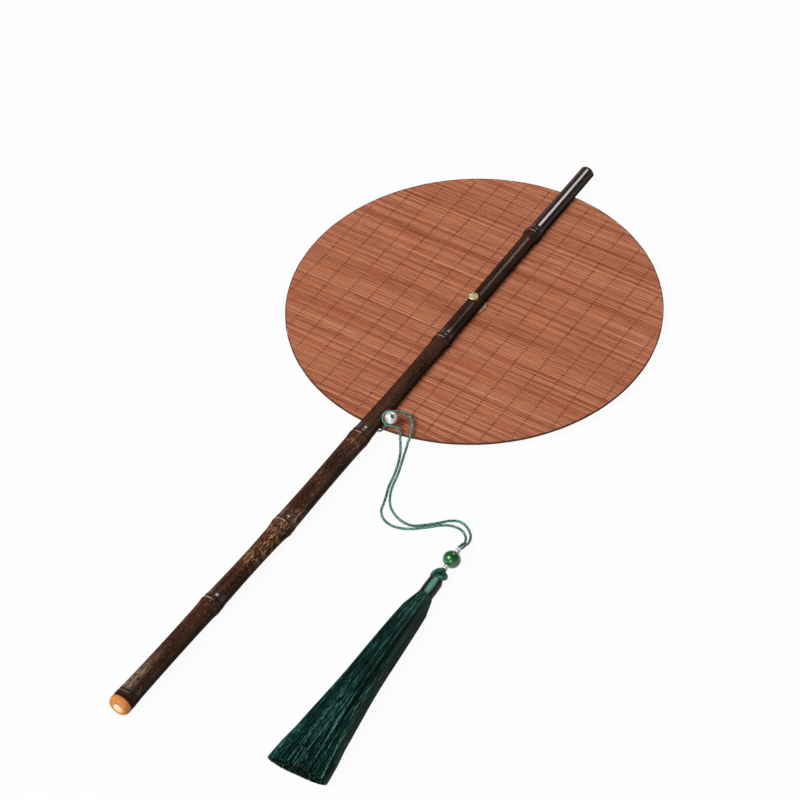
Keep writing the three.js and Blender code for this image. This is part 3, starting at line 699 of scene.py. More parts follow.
def bamboo_looks(place):
    streak = grain(place, (420, 16, 420), 4.0)
    cloud = grain(place, (90, 30, 90), 3.0, 0.55)
    fleck = grain(place, (1500, 330, 1500), 3.0, 0.65)
    fine = rise(grain(place, (2400, 600, 2400)), 0.5, 0.66)
    worn = rise(grain(place, 260, 2.0, 0.5), 0.3, 0.52)
    pore = grain(place, (1500, 200, 1500))
    own = {name: own_value(place, name) for name in painted}
    mottle, bare_end = own["mottle"], own["bare"]
    matt = 1 - own["smooth"]
    # Painted shade: on the right side the dark and pale colours are darker and less red
    dark = mixed(own["right"], srgb(34, 12, 8), srgb(22, 13, 9))
    pale = mixed(own["right"], srgb(86, 43, 31), srgb(62, 43, 31))
    speck = rise(fleck + cloud * 0.45 + mottle * 0.16, 0.91, 1.03)
    dusty_sheen = own["dust"] * rise(fleck * 0.8 + streak * 0.4, 0.5, 0.68)
    colour = layered(
        mixed(rise(streak, 0.32, 0.7), dark, pale),
        (rise(cloud, 0.45, 0.7) * 0.4, srgb(92, 58, 40)),
        (mottle * 0.1, srgb(98, 58, 40)),
        (fine * matt * 0.34, srgb(134, 94, 70)),
        ((1 - matt) * 0.6, srgb(30, 19, 15)),
        (speck * (0.1 + 0.8 * mottle), srgb(206, 152, 110)),
        # Dust and a painted sheen: lighter tan on the left side above the butt
        (dusty_sheen * 0.75, srgb(176, 154, 124)),
        # Painted shade: the flanks away from the crown are darkened
        ((1 - own["crown"]) * 0.5, srgb(15, 7, 5)),
        # Painted shade in the groove just above each joint
        (own["groove"] * 0.9, srgb(12, 7, 6)),
        (own["scar"] * worn, srgb(204, 172, 146)),
        (own["band"] * 0.85, srgb(50, 21, 15)),
    )
    x, _, z = split(place)
    beside, above = x - culm_offsets[0] * mm, z - axis_height * mm
    from_axis = (beside * beside + above * above).root()
    end_tan = layered(
        mixed(rise(pore, 0.3, 0.7), srgb(204, 118, 58), srgb(234, 158, 94)),
        (rise(from_axis, plug_ring_from, plug_ring_to) * 0.9, srgb(250, 200, 144)),
    )
    height = (streak * 0.4 + fleck * (0.25 + mottle * 0.9)) * (0.2 + 0.8 * matt)
    return {
        "Base Color": mixed(bare_end, colour, end_tan),
        "Roughness": 0.4 + 0.22 * streak + 0.15 * bare_end + 0.1 * dusty_sheen,
        "Coat Weight": own["gloss"] * (1 - bare_end),
        "Normal": bumped(height, 0.15, 0.0003),
    }


dark_bamboo_skin = surface(
    "dark_bamboo_skin", bamboo_looks, Specular_IOR_Level=0.02, Coat_Roughness=0.13, Coat_IOR=1.5,
)
lay_piece("bamboo_handle", culm_mesh, dark_bamboo_skin, "handle", "dark_bamboo", "culm_grip", "culm_planed")

# %% [markdown]
# ## Butt plug
# A pale round plug closes the hollow of the culm at its butt. It shows bare end grain: fine dark pores in
# cream. A thin ring of glue, a little below its face, fills the gap between the plug and the bore.

# %% Butt plug
def end_grain_looks(place):
    pores = grain(place, (2600, 300, 2600))
    rings = grain(place, (500, 60, 500), 1.0, 0.5)
    colour = mixed(rise(rings, 0.35, 0.65), srgb(255, 238, 196), srgb(255, 246, 216))
    colour = mixed(rise(pores, 0.64, 0.8) * 0.25, colour, srgb(222, 186, 132))
    return {"Base Color": colour, "Normal": bumped(1 - pores, 0.25, 0.0002)}


plug_radius, glue_radius, glue_depth, plug_length = 2.2, 2.46, 0.2, 12
plug_profile = [(0, 0), (plug_radius, 0), (plug_radius, glue_depth), (glue_radius, glue_depth)]
plug_profile += [(glue_radius, plug_length), (0, plug_length)]
plug_mesh = turned(arc_corners(plug_profile, 0.06), butt_foot, (0, 1, 0), 48)
plug_end_grain = surface("plug_end_grain", end_grain_looks, Roughness=0.6)
lay_piece("butt_wood_plug", plug_mesh, plug_end_grain, "handle", "pale_wood", "butt_plug")

# %% [markdown]
# ## Brass at the pivot
# The pin's head is a small turned brass button with a bevelled, brighter rim. Under the handle a thin washer
# shows on both sides, and behind the leaf a flanged eyelet and a cap close the pin. All are turned profiles
# with their corners rounded, because real sheet and turned metal has no knife edges.

# %% Brass finishes
lathe_lines = 9000


def brass_looks(place, bright, dull, tarnish):
    patch = grain(place, 700, 3.0)
    scratch = grain(place, (3800, 900, 900), 2.0, 0.5)
    x, y, _ = split(place)
    lathe = ((x * x + y * y).root() * lathe_lines).sin()
    return {
        "Base Color": mixed(rise(patch, 0.4, 0.7) * tarnish, bright, dull),
        "Roughness": 0.26 + 0.2 * patch + 0.1 * scratch,
        "Normal": bumped(lathe * 0.5 + scratch, 0.05, 0.0001),
    }


pin_tints = srgb(248, 236, 180), srgb(226, 208, 140)
washer_tints = srgb(196, 160, 128), srgb(122, 84, 62)
pin_brass = surface("pin_brass", brass_looks, *pin_tints, 0.25, Metallic=1.0)
washer_brass = surface("washer_brass", brass_looks, *washer_tints, 0.9, Metallic=0.35)

# %% Pin, washer, eyelet and cap
def turned_brass(name, profile, rounding, finish, body, slot, node):
    mesh = turned(arc_corners(profile, rounding), pin_foot, pin_axis, 72, ring=profile[0][0] > 0)
    lay_piece(name, mesh, finish, body, slot, node)


# Profiles are (radius, height) pairs in mm
head_low, head_top = crown - 0.3, crown + 1.3
shank_radius, head_radius, shank_foot = 1.5, 2.7, 0.9
pin_profile = [(0, shank_foot), (shank_radius, shank_foot), (shank_radius, head_low), (head_radius, head_low)]
pin_profile += [(head_radius, head_top - 0.3), (2.25, head_top)]
pin_profile += [(2.05, head_top - 0.12), (0, head_top - 0.05)]
turned_brass("brass_pin", pin_profile, 0.12, pin_brass, "handle", "brass", "pivot_pin")
washer_profile = [(hub_bore, 4.9), (7, 4.9), (7, 5.4), (hub_bore, 5.4)]
turned_brass("brass_washer", washer_profile, 0.16, washer_brass, "handle", "washer_metal", "front_washer")
eyelet_profile = [(hub_bore, 2.5), (5, 2.5), (5, 3.1), (2.5, 3.1), (2.5, 4.4), (hub_bore, 4.4)]
turned_brass("brass_eyelet", eyelet_profile, 0.2, pin_brass, "leaf", "brass", "hub_eyelet")
cap_profile = [(0, 0), (4, 0), (4, 2.2), (hub_bore, 2.2), (hub_bore, 0.6), (0, 0.6)]
turned_brass("brass_cap", cap_profile, 0.35, pin_brass, "handle", "brass", "rear_cap")

# %% [markdown]
# ## Leaf of slivers
# Nearly 120 split bamboo slivers lie side by side across the handle. They repeat by a rule, so a tree of
# Geometry Nodes lays them: each row gets a left and a right half of a unit sliver, stretched from the hub's
# hole to the disc's edge, with small uneven shifts. Each sliver keeps two random numbers, tone and grain.

# %% Growing by a rule
socket_kinds = {int: "NodeSocketInt", float: "NodeSocketFloat", bpy.types.Material: "NodeSocketMaterial"}


def grown(rule, unit_mesh, **values):
    """A tree with one named input for each value. The rule fills it, and it grows a plain mesh."""
    tree = bpy.data.node_groups.new(rule.__name__, "GeometryNodeTree")
    tree.interface.new_socket("Geometry", in_out="OUTPUT", socket_type="NodeSocketGeometry")
    tree.interface.new_socket("Unit", in_out="INPUT", socket_type="NodeSocketGeometry")
    keys = {}
    for name, value in values.items():
        label, kind = name.replace("_", " "), socket_kinds[type(value)]
        keys[name] = tree.interface.new_socket(label, in_out="INPUT", socket_type=kind).identifier
    unit = Link(tree).node("NodeGroupInput", out="Unit")
    rule(unit, **{name: unit.other(key) for name, key in keys.items()})
    maker = set_out("maker", unit_mesh)
    growth = maker.modifiers.new("rule", "NODES")
    growth.node_group = tree
    for name, key in keys.items():
        growth[key] = values[name]
    mesh = plain_mesh(maker)
    maker.modifiers.remove(growth)
    bpy.data.objects.remove(maker)
    return mesh


def keep(geometry, name, value, domain):
    settings = {"data_type": "FLOAT", "domain": domain}
    return geometry.shape("StoreNamedAttribute", settings, Geometry=geometry, Name=name, Value=value)


def kept(start, name):
    kind = "GeometryNodeInputNamedAttribute"
    return start.node(kind, {"data_type": "FLOAT"}, {"Name": name}, out="Attribute")


def chance(start, low, high, seed):
    sockets = {"Min_001": low, "Max_001": high, "ID": start.shape("InputIndex"), "Seed": seed}
    return start.node("FunctionNodeRandomValue", {"data_type": "FLOAT"}, sockets, out="Value_001")


def finished(geometry, finish):
    smooth = geometry.shape("SetShadeSmooth", Geometry=geometry)
    whole = smooth.shape("RealizeInstances", Geometry=smooth)
    done = whole.shape("SetMaterial", Geometry=whole, Material=finish)
    done.node("NodeGroupOutput", (), {"Geometry": done})


# %% Sliver rule
unit_start = 0.01


def half_sliver(segments=6):
    outline = [
        (-0.5, -0.34), (-0.4, -0.5), (0.4, -0.5), (0.5, -0.34),
        (0.5, 0.32), (0.3, 0.5), (-0.3, 0.5), (-0.5, 0.32),
    ]
    rings = [[(x, y, z) for y, z in outline] for x in np.linspace(unit_start, 1 + unit_start, segments + 1)]
    return skin(rings, sharp_degrees=75)


def sliver_rule(
    unit, count, pitch, disc_radius, hub_radius, width, thickness, middle_height, uneven, seed, finish,
):
    first = (1 - count) * pitch / 2
    begin, offset = (combine(unit, 0.0, y, 0.0) for y in (first, pitch))
    line = unit.shape("MeshLine", {"mode": "OFFSET"}, Count=count, Start_Location=begin, Offset=offset)
    row = first + unit.shape("InputIndex") * pitch
    both = unit.shape("JoinGeometry")
    for facing in (0.0, math.pi):
        half = unit.shape("InstanceOnPoints", Points=line, Instance=unit, Rotation=(0.0, 0.0, facing))
        half = keep(half, "row", row, "INSTANCE")
        for shift, name in enumerate(("tone", "grain")):
            half = keep(half, name, chance(unit, 0.0, 1.0, seed + shift), "INSTANCE")
        both.join(both.socket.node.inputs[0], half)
    real = both.shape("RealizeInstances", Geometry=both)
    x, y, z = split(unit.shape("InputPosition"))
    own_row, tone, grain_value = (kept(unit, name) for name in ("row", "tone", "grain"))
    real = keep(real, "across", y - own_row, "POINT")
    upright = own_row + kept(unit, "across") * (width * (0.96 + 0.09 * grain_value))
    spare = upright * upright
    inner = (hub_radius * hub_radius - spare).at_least(0.0).root()
    outer = (disc_radius * disc_radius - spare).at_least(1e-8).root()
    along = x.sign() * (inner + (abs(x) - unit_start) * (outer - inner))
    bow = (along * 38 + grain_value * 6.283).sin() + (along * 95 + tone * 6.283).sin() * 0.5
    shift = uneven * (bow * 0.8 + (tone - 0.5) * 1.2)
    lift = uneven * (grain_value - 0.5) * 1.3 + uneven * (along * 60 + tone * 9).sin() * 0.4
    height = middle_height + z * thickness + lift
    place = combine(unit, along, upright + shift, height)
    finished(real.shape("SetPosition", Geometry=real, Position=place), finish)


# %% Sliver finish
def sliver_looks(place):
    x, y, z = split(place)
    tone, own_grain, across = (own_value(place, name) for name in ("tone", "grain", "across"))
    lane = own_grain * 37 + tone * 11
    streak = noise(combine(place, x * 22, lane, 0.0), 3.0)
    fibre = noise(combine(place, x * 24, y * 1700, z * 1200), 3.0)
    fleck = noise(combine(place, x * 45, lane * 3, y * 1300), 2.0, 0.5)
    dash = noise(combine(place, x * 70, lane * 5, 2.0), 2.0, 0.5)
    shade = tone * 0.22 + streak * 0.45 + fibre * 1.0 - 0.33
    ramp = {"stops": [
        (0.16, srgb(136, 62, 34)), (0.36, srgb(171, 92, 61)), (0.52, srgb(188, 108, 73)),
        (0.66, srgb(202, 123, 87)), (0.88, srgb(230, 158, 121)),
    ]}
    # A painted highlight along one edge of each sliver, as if lit from behind, and painted shade in the gaps
    # between slivers, stronger in places
    shine = rise(across, 0.08, 0.24) * (1 - rise(across, 0.28, 0.4))
    gap = rise(abs(across), 0.3, 0.5) * (0.16 + 0.84 * rise(dash * 0.7 + own_grain * 0.5, 0.45, 0.8))
    colour = layered(
        shade.node("ShaderNodeValToRGB", ramp, {"Fac": shade}),
        (rise(fleck, 0.62, 0.8) * 0.35, srgb(126, 62, 44)),
        (shine * rise(dash + tone * 0.4, 0.5, 0.8) * 0.68, srgb(240, 184, 148)),
        (gap, srgb(88, 33, 13)),
    )
    normal = bumped(fibre + streak * 0.4, 0.3, 0.0002)
    return {"Base Color": colour, "Roughness": 0.5 + 0.2 * fibre, "Normal": normal}


# %% Laying the slivers
mat_low, mat_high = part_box("bamboo_mat")
mat_middle = (mat_low.z + mat_high.z) / 2
sliver_pitch = 1.78 * mm
leaf_radius = mat_high.x + 0.3 * mm
sliver_count = int(2 * leaf_radius / sliver_pitch)
sliver_bamboo = surface("sliver_bamboo", sliver_looks, Specular_IOR_Level=0.25)
sliver_mesh = grown(
    sliver_rule, half_sliver(), count=sliver_count, pitch=sliver_pitch, disc_radius=leaf_radius,
    hub_radius=2.9 * mm, width=sliver_pitch, thickness=mat_high.z - mat_low.z - 0.1 * mm,
    middle_height=mat_middle, uneven=0.06 * mm, seed=7, finish=sliver_bamboo,
)
lay_piece("sliver_mat", sliver_mesh, sliver_bamboo, "leaf", "bamboo_slivers", "bamboo_mat")
print("slivers:", sliver_count, "rows of", round(sliver_pitch / mm, 2), "mm")

# %% [markdown]
# ## Binding threads
# Fifteen rows of thread tie the slivers together. In each row two threads twine: one passes over a sliver
# while the other passes behind it, and they cross between slivers. The path is a rule, so a tree resamples
# each straight row, bends it over and under, and skins it.

# %% Thread rule
def skinned(curves, place, sides, radius, finish):
    """Moves the curves' points and skins them as round threads."""
    laid = curves.shape("SetPosition", Geometry=curves, Position=place)
    outline = curves.shape("CurvePrimitiveCircle", Resolution=sides, Radius=radius)
    thread = laid.shape("CurveToMesh", Curve=laid, Profile_Curve=outline, Fill_Caps=True)
    finished(thread, finish)


def thread_rule(unit, step, pitch, first_crown, sway, lift, middle_height, wander, radius, finish):
    rows = unit.shape("MeshToCurve", Mesh=unit)
    fine = rows.shape("ResampleCurve", {"mode": "LENGTH"}, Curve=rows, Length=step)
    x, y, _ = split(unit.shape("InputPosition"))
    angle = (y - first_crown) / pitch * math.pi + kept(unit, "phase")
    over = (angle.cos() * 1.7).at_least(-1.0).at_most(1.0)
    drift = wander * ((y * 48 + x * 730).sin() + (y * 131 + x * 310).sin() * 0.5)
    place = combine(unit, x + sway * angle.sin() + drift, y, middle_height + lift * over)
    skinned(fine, place, 5, radius, finish)


# %% Thread finish
def thread_looks(place):
    dye = rise(grain(place, (90, 320, 90), 2.0, 0.5), 0.35, 0.65)
    twist = grain(place, (2200, 1500, 2200))
    purple = mixed(dye, srgb(86, 50, 64), srgb(136, 96, 106))
    rosy = mixed(dye, srgb(150, 88, 70), srgb(196, 140, 118))
    colour = layered(
        purple, (rise(own_value(place, "phase"), 1.0, 2.0), rosy),
        (rise(twist, 0.55, 0.75) * 0.3, srgb(176, 138, 132)),
    )
    return {"Base Color": colour, "Normal": bumped(twist, 0.4, 0.0001)}


# %% Twining the rows
thread_nodes = sorted(name for name in nodes if name.startswith("binding_thread"))


def row_edges():
    corners, edges, phases = [], [], []
    for name in thread_nodes:
        low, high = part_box(name)
        for phase in (0.0, math.pi):
            edges.append((len(corners), len(corners) + 1))
            corners += [((low.x + high.x) / 2, end, 0.0) for end in (low.y, high.y)]
            phases += [phase, phase]
    mesh = bpy.data.meshes.new("row_edges")
    mesh.from_pydata(corners, edges, [])
    paint(mesh, "phase", phases)
    return mesh


purple_thread = surface("purple_thread", thread_looks, Roughness=0.8, Specular_IOR_Level=0.25)
thread_mesh = grown(
    thread_rule, row_edges(), step=sliver_pitch / 6, pitch=sliver_pitch,
    first_crown=(sliver_count % 2 == 0) * sliver_pitch / 2, sway=0.42 * mm, lift=0.74 * mm,
    middle_height=mat_middle, wander=0.32 * mm, radius=0.13 * mm, finish=purple_thread,
)
lay_piece("twined_threads", thread_mesh, purple_thread, "leaf", "binding_thread", *thread_nodes)

# %% [markdown]
# ## Edge binding
# A thin brown band closes the cut ends of the slivers. It is a narrow profile turned about the pin's axis,
# with a slightly uneven edge, as a hand-glued band has.

# %% Edge binding
edge_outer, edge_inner, edge_low, edge_high = 105, 104.5, 3.4, 4.6
edge_segments = 240
lip_from, lip_length = 104.75, 0.35


def edge_looks(place):
    x, y, z = split(place)
    round_edge = y.angle_from(x) * edge_outer
    weave = (round_edge * 9.5).sin() * (z * 9500).sin()
    fuzz, wear = grain(place, 1400), grain(place, 60, 3.0)
    lit = rise(fuzz * 0.5 + weave * 0.25 + wear * 0.5, 0.3, 0.85)
    colour = mixed(lit, srgb(62, 40, 28), srgb(116, 80, 54))
    return {"Base Color": colour, "Normal": bumped(weave * 0.6 + fuzz, 0.35, 0.0002)}


def edge_mesh():
    section = [(edge_outer, edge_low), (edge_outer, edge_high)]
    section += [(edge_inner, edge_high), (edge_inner, edge_low)]
    outline = arc_corners(section, 0.2, 3)
    wobble = np.random.default_rng(3).normal(0, 1, (2, 9))
    rings = []
    for angle in np.linspace(0, full_turn, edge_segments, endpoint=False):
        lip_wave, rim_wave = (
            sum(a * math.sin((k + 3) * 5 * angle + a * 9) for k, a in enumerate(row)) for row in wobble
        )
        ring = []
        for radius, height in outline:
            lip = max(0.0, (lip_from - radius) / lip_length)
            reach = radius + 0.05 * lip_wave * lip - 0.02 * abs(rim_wave)
            ring.append((reach * math.cos(angle), reach * math.sin(angle), height))
        rings.append(ring)
    return skin(np.array(rings) * mm, loop=True, sharp_degrees=60)


tape_cloth = surface("edge_tape", edge_looks, Roughness=0.85, Specular_IOR_Level=0.3)
lay_piece("edge_tape", edge_mesh(), tape_cloth, "leaf", "edge_cloth", "rim_binding")

# %% [markdown]
# ## Stud
# A silver-coloured bead stands beside the handle on its own short cord, which comes out of the handle's side
# and ends in the bead's mouth. The doubled cord is hitched round it.

# %% Stud and its cord
def silver_looks(place):
    cloud = grain(place, 420, 3.0)
    scratch = grain(place, (3000, 700, 1600), 2.0, 0.5)
    colour = mixed(rise(cloud, 0.35, 0.7), srgb(250, 249, 246), srgb(222, 220, 214))
    return {"Base Color": colour, "Roughness": 0.34 + 0.2 * cloud, "Normal": bumped(scratch, 0.08, 0.0001)}


def bored_ball(radius, half, bore_radius, steps=26):
    """The profile of a ball with a bore, squashed to a half length."""
    squash = half / math.sqrt(radius**2 - bore_radius**2)
    reach = math.acos(bore_radius / radius)
    angles = np.linspace(-reach, reach, steps)
    outside = [(radius * math.cos(a), radius * math.sin(a) * squash) for a in angles]
    mouth, lip = bore_radius - 0.02 * radius, half - 0.12 * radius
    return [*outside, (mouth, lip), (mouth, -lip)]


stud_silver = surface("stud_silver", silver_looks, Metallic=0.6)
stud_radius, stud_bore = stud_diameter / 2, 1.15
stud_profile = bored_ball(stud_radius, math.sqrt(stud_radius**2 - stud_bore**2), stud_bore)
stud_mesh = turned(stud_profile, stud_middle, stud_axis, 64, ring=True)
lay_piece("silver_stud", stud_mesh, stud_silver, "handle", "silver", "cord_stud")
tie_diameter = 1.1 * mm
tie_bends = [
    (-2.2, -7.6, -4.6), (-1.6, -6.5, -4.4), (-1.5, -4.9, -4.3), (-1.9, -3, -4.3), (-2.4, -1.1, -4.35),
    (-2.5, 0.3, -4.05),
]
tie_points = [tie_mouth / mm + Vector((-reach, 0, 0)) for reach in (3.4, 1.7, 0)]
tie_points += [stud_middle / mm + Vector(bend) for bend in tie_bends]
tie_points += [stud_middle / mm + reach * stud_axis for reach in (-3.5, 0, 2.9)]
tie_mesh = tube(smooth_route(tie_points) * mm, tie_diameter / 2, cord_sides)
lay_piece("stud_tie", tie_mesh, cord_braid, "handle", "green_cord", "stud_cord")

# %% [markdown]
# ## Beads
# The cord passes through a small silver bead, a glossy clouded green bead and another silver one. Each is a
# ball with a bore, turned on the tassel's axis. The green one's clouds are two scales of noise under a clear
# coat.

# %% Beads
def jade_looks(place):
    cloud = grain(place, 160, 4.0)
    vein = grain(place, (520, 300, 520), 3.0)
    colour = mixed(rise(cloud, 0.35, 0.65), srgb(2, 74, 26), srgb(14, 124, 48))
    colour = mixed(rise(vein, 0.58, 0.75) * 0.5, colour, srgb(70, 158, 92))
    return {"Base Color": colour, "Normal": bumped(vein, 0.02, 0.0002)}


tassel_axis = Vector(joints["bead_spin"]["axis"]).normalized()
tassel_pivot = Vector(joints["tassel_swing"]["pos_m"])
bead_bore = 0.9
spacer_size, green_size = (1.6, 1.6), (4.85, 4.5)


def axis_bead(name, node, radius, half, finish, body, slot):
    """A bead on the tassel's axis, with its radius and half its length in mm."""
    mesh = turned(bored_ball(radius, half, bead_bore), middle_of(node), tassel_axis, 56, ring=True)
    return lay_piece(name, mesh, finish, body, slot, node)


clouded_green = surface(
    "clouded_green", jade_looks, Roughness=0.05, Coat_Weight=0.7, Coat_Roughness=0.03,
)
on_cord = [
    axis_bead("upper_silver", "upper_spacer_bead", *spacer_size, stud_silver, "tassel", "silver"),
    axis_bead("green_bead", "jade_bead", *green_size, clouded_green, "bead", "green_bead"),
    axis_bead("lower_silver", "lower_spacer_bead", *spacer_size, stud_silver, "tassel", "silver"),
]
core_low, core_high = (tassel_pivot + reach * mm * tassel_axis for reach in (0.25, 18.6))
core_path = [core_low.lerp(core_high, t) for t in np.linspace(0, 1, 30)]
core_tube = tube(core_path, 0.6 * mm, cord_sides)
on_cord.append(lay_piece("bead_cord", core_tube, cord_braid, "tassel", "green_cord", "core_cord"))

# %% [markdown]
# ## Tassel head and neck
# The head is a knot of satin cord: the strand runs twice round while it swings three times up and down, and
# so passes over and under itself. Below it silk thread is wound round the neck in close turns. Both carry a
# painted highlight along their top.

# %% Satin finish
# Heights above the pivot where the painted highlight on top begins and where it is full
shine_from, shine_full = 3.5 * mm, 4.1 * mm


def satin_looks(place, dark, light, highlight_tint, grain_scale):
    around, along = along_run(place)
    fibre = noise(combine(place, around * grain_scale, along * 2.2, 0.0), 3.0)
    x, y, z = split(place)
    beside = (x - tassel_pivot.x) * -tassel_axis.y + (y - tassel_pivot.y) * tassel_axis.x
    above = (z - tassel_pivot.z) * 0.97 + beside * 0.26
    # A painted highlight along the top of the knot and the neck, broken by the fibres
    top = rise(above, shine_from, shine_full) * rise(fibre, 0.25, 0.65)
    colour = mixed(rise(fibre, 0.32, 0.7), dark, light)
    return {"Base Color": mixed(top * 0.8, colour, highlight_tint), "Normal": bumped(fibre, 0.35, 0.0002)}


satin = {"Roughness": 0.32, "Specular_IOR_Level": 0.35}
# Each finish has a dark and a light tint, and the tint of its painted highlight
knot_tints = srgb(2, 36, 30), srgb(44, 128, 106), srgb(116, 200, 178)
neck_tints = srgb(1, 14, 11), srgb(5, 38, 32), srgb(150, 214, 200)
knot_satin = surface("knot_satin", satin_looks, *knot_tints, 30, **satin)
neck_silk = surface("neck_silk", satin_looks, *neck_tints, 9, **satin)


# %% Woven head
def beside_tassel(points):
    """Points given as (across, along, up) in mm from the pivot, put on the tassel's axis."""
    across = Vector((-tassel_axis.y, tassel_axis.x, 0))
    points = np.asarray(points, float) * mm
    moved = points[:, :1] * np.array(across) + points[:, 1:2] * np.array(tassel_axis)
    moved = moved + points[:, 2:] * np.array((0, 0, 1))
    return moved + np.array(tassel_pivot)


def along_tassel(node):
    return (middle_of(node) - tassel_pivot).dot(tassel_axis) / mm


head_rounds, head_swings, head_steps, head_half = 2, 3, 300, 2.85


def head_strand(middle):
    t = np.linspace(0, full_turn, head_steps, endpoint=False)
    azimuth, swing = head_rounds * t, head_swings * t
    height = head_half * np.sin(swing)
    reach = 2.1 + 0.2 * height + 1.1 * np.cos(swing)
    points = [reach * np.cos(azimuth), middle + height, reach * np.sin(azimuth)]
    return beside_tassel(np.stack(points, axis=1))


head_mesh = tube(head_strand(along_tassel("tassel_knot")), 1.25 * mm, 14, loop=True)
on_cord.append(lay_piece("woven_head", head_mesh, knot_satin, "tassel", "green_cord", "tassel_knot"))

# %% Wound neck
neck_middle = along_tassel("neck_core")
neck_half, neck_radius, neck_belly = 5.4, 3.75, 0.12
wound_pitch, wound_radius, wound_steps = 0.4, 0.25, 26


def wound_strand():
    turns = int(2 * neck_half / wound_pitch)
    angle = np.linspace(0, full_turn * turns, turns * wound_steps)
    along = neck_middle - neck_half + wound_pitch * angle / full_turn
    belly = neck_radius + neck_belly * np.cos((along - neck_middle) / neck_half * 1.5)
    return beside_tassel(np.stack([belly * np.cos(angle), along, belly * np.sin(angle)], axis=1))


wound_mesh = tube(wound_strand(), wound_radius * mm, 6)
on_cord.append(lay_piece("neck_windings", wound_mesh, neck_silk, "tassel", "dark_silk", "neck_winding"))
core_along = [-8.2, -7.2, -6.3, -5.75, -5.4, 0, 5.4, 7]
core_radius = np.array([1.6, 2.3, 2.7, 3.3, 3.7, 3.75, 3.75, 3.7])
core_line = beside_tassel([(0, neck_middle + along, 0) for along in core_along])
core_mesh = tube(core_line, core_radius * mm, 40)
on_cord.append(lay_piece("neck_bundle", core_mesh, neck_silk, "tassel", "dark_silk", "neck_core"))

# %% [markdown]
# ## Silk skirt
# The skirt is a bundle of fine silk strands, tied at the neck, spread on the table and cut straight at the
# end. A lofted core fills it, coloured near black as painted shade for the inside of the bundle, and a tree
# grows the strands over it: each takes an angle round the bundle, a depth and a small swing of its own, so
# they cross a little as combed silk does.

# %% Skirt sections
# A section has a place along the skirt, a half width, and the heights of its underside and its top
skirt_from = 36.9
skirt_sections = np.array([
    (0, 4.2, 0.8, 8.6), (5, 5.9, 0.4, 9.3), (10, 6.8, 0.2, 9.8), (25, 7.9, 0, 10.4), (40, 8.8, 0, 10.6),
    (60, 9.9, 0, 10.4), (75, 11.2, 0, 10.2), (90, 12.8, 0, 9.8), (105, 14.4, 0, 9.2), (118, 16.4, 0, 8.4),
    (123.5, 16.7, 0, 8),
])
skirt_length = float(skirt_sections[-1, 0])
pivot_height = tassel_pivot.z / mm
core_share, core_end_share, core_end_length = 0.86, 0.6, 25


def skirt_at(along):
    return [np.interp(along, skirt_sections[:, 0], skirt_sections[:, c]) for c in (1, 2, 3)]


def skirt_core(sides=40, steps=50):
    shares = (core_share, core_share, core_end_share)
    angle = np.linspace(0, full_turn, sides, endpoint=False)
    rings = []
    for along in np.linspace(0.4, skirt_length - 4, steps):
        half_width, low, high = skirt_at(along)
        share = np.interp(along, (0, skirt_length - core_end_length, skirt_length), shares)
        middle, half = (low + high) / 2 - pivot_height, (high - low) / 2
        up = np.maximum(half * share * 1.1 * np.sin(angle), 0.25 - half) + middle
        across = half_width * share * np.cos(angle)
        rings.append(beside_tassel(np.stack([across, np.full(sides, skirt_from + along), up], axis=1)))
    return skin(rings)


# %% Silk finishes
def silk_looks(place):
    wave = grain(place, (90, 26, 90), 3.0)
    fibre = grain(place, (2400, 160, 2400))
    shade = own_value(place, "tone") * 0.7 + wave * 0.4 + fibre * 0.3 - 0.12
    ramp = {"stops": [
        (0.42, srgb(0, 3, 2)), (0.64, srgb(0, 24, 20)), (0.84, srgb(13, 76, 65)), (1.0, srgb(112, 182, 168)),
    ]}
    colour = shade.node("ShaderNodeValToRGB", ramp, {"Fac": shade})
    return {"Base Color": colour, "Roughness": 0.26 + 0.2 * fibre}


# The core's near-black green is painted shade for the inside of the bundle
def heart_looks(place):
    fibre = grain(place, (1600, 60, 1600))
    colour = mixed(rise(fibre, 0.35, 0.65), srgb(0, 8, 6), srgb(2, 36, 29))
    return {"Base Color": colour, "Normal": bumped(fibre, 0.4, 0.0003)}


green_silk_strands = surface("green_silk_strands", silk_looks, Specular_IOR_Level=0.2)
shaded_silk = surface("shaded_silk", heart_looks, Roughness=0.9, Specular_IOR_Level=0.1)
lay_piece("skirt_heart", skirt_core(), shaded_silk, "tassel", "green_silk", "tassel_skirt")

# %% Strand rule
curve_top = 20
strand_chances = {
    "angle": (0.0, full_turn), "depth": (0.0, 1.0), "swing": (-1.0, 1.0),
    "short": (0.0, 1.0), "tone": (0.0, 1.0),
}
inner_depth = 0.7


def section_curve(start, share, column):
    points = [(section[0] / skirt_length, section[column] / curve_top) for section in skirt_sections]
    return start.node("ShaderNodeFloatCurve", {"curve": points}, {"Value": share}) * (curve_top * mm)


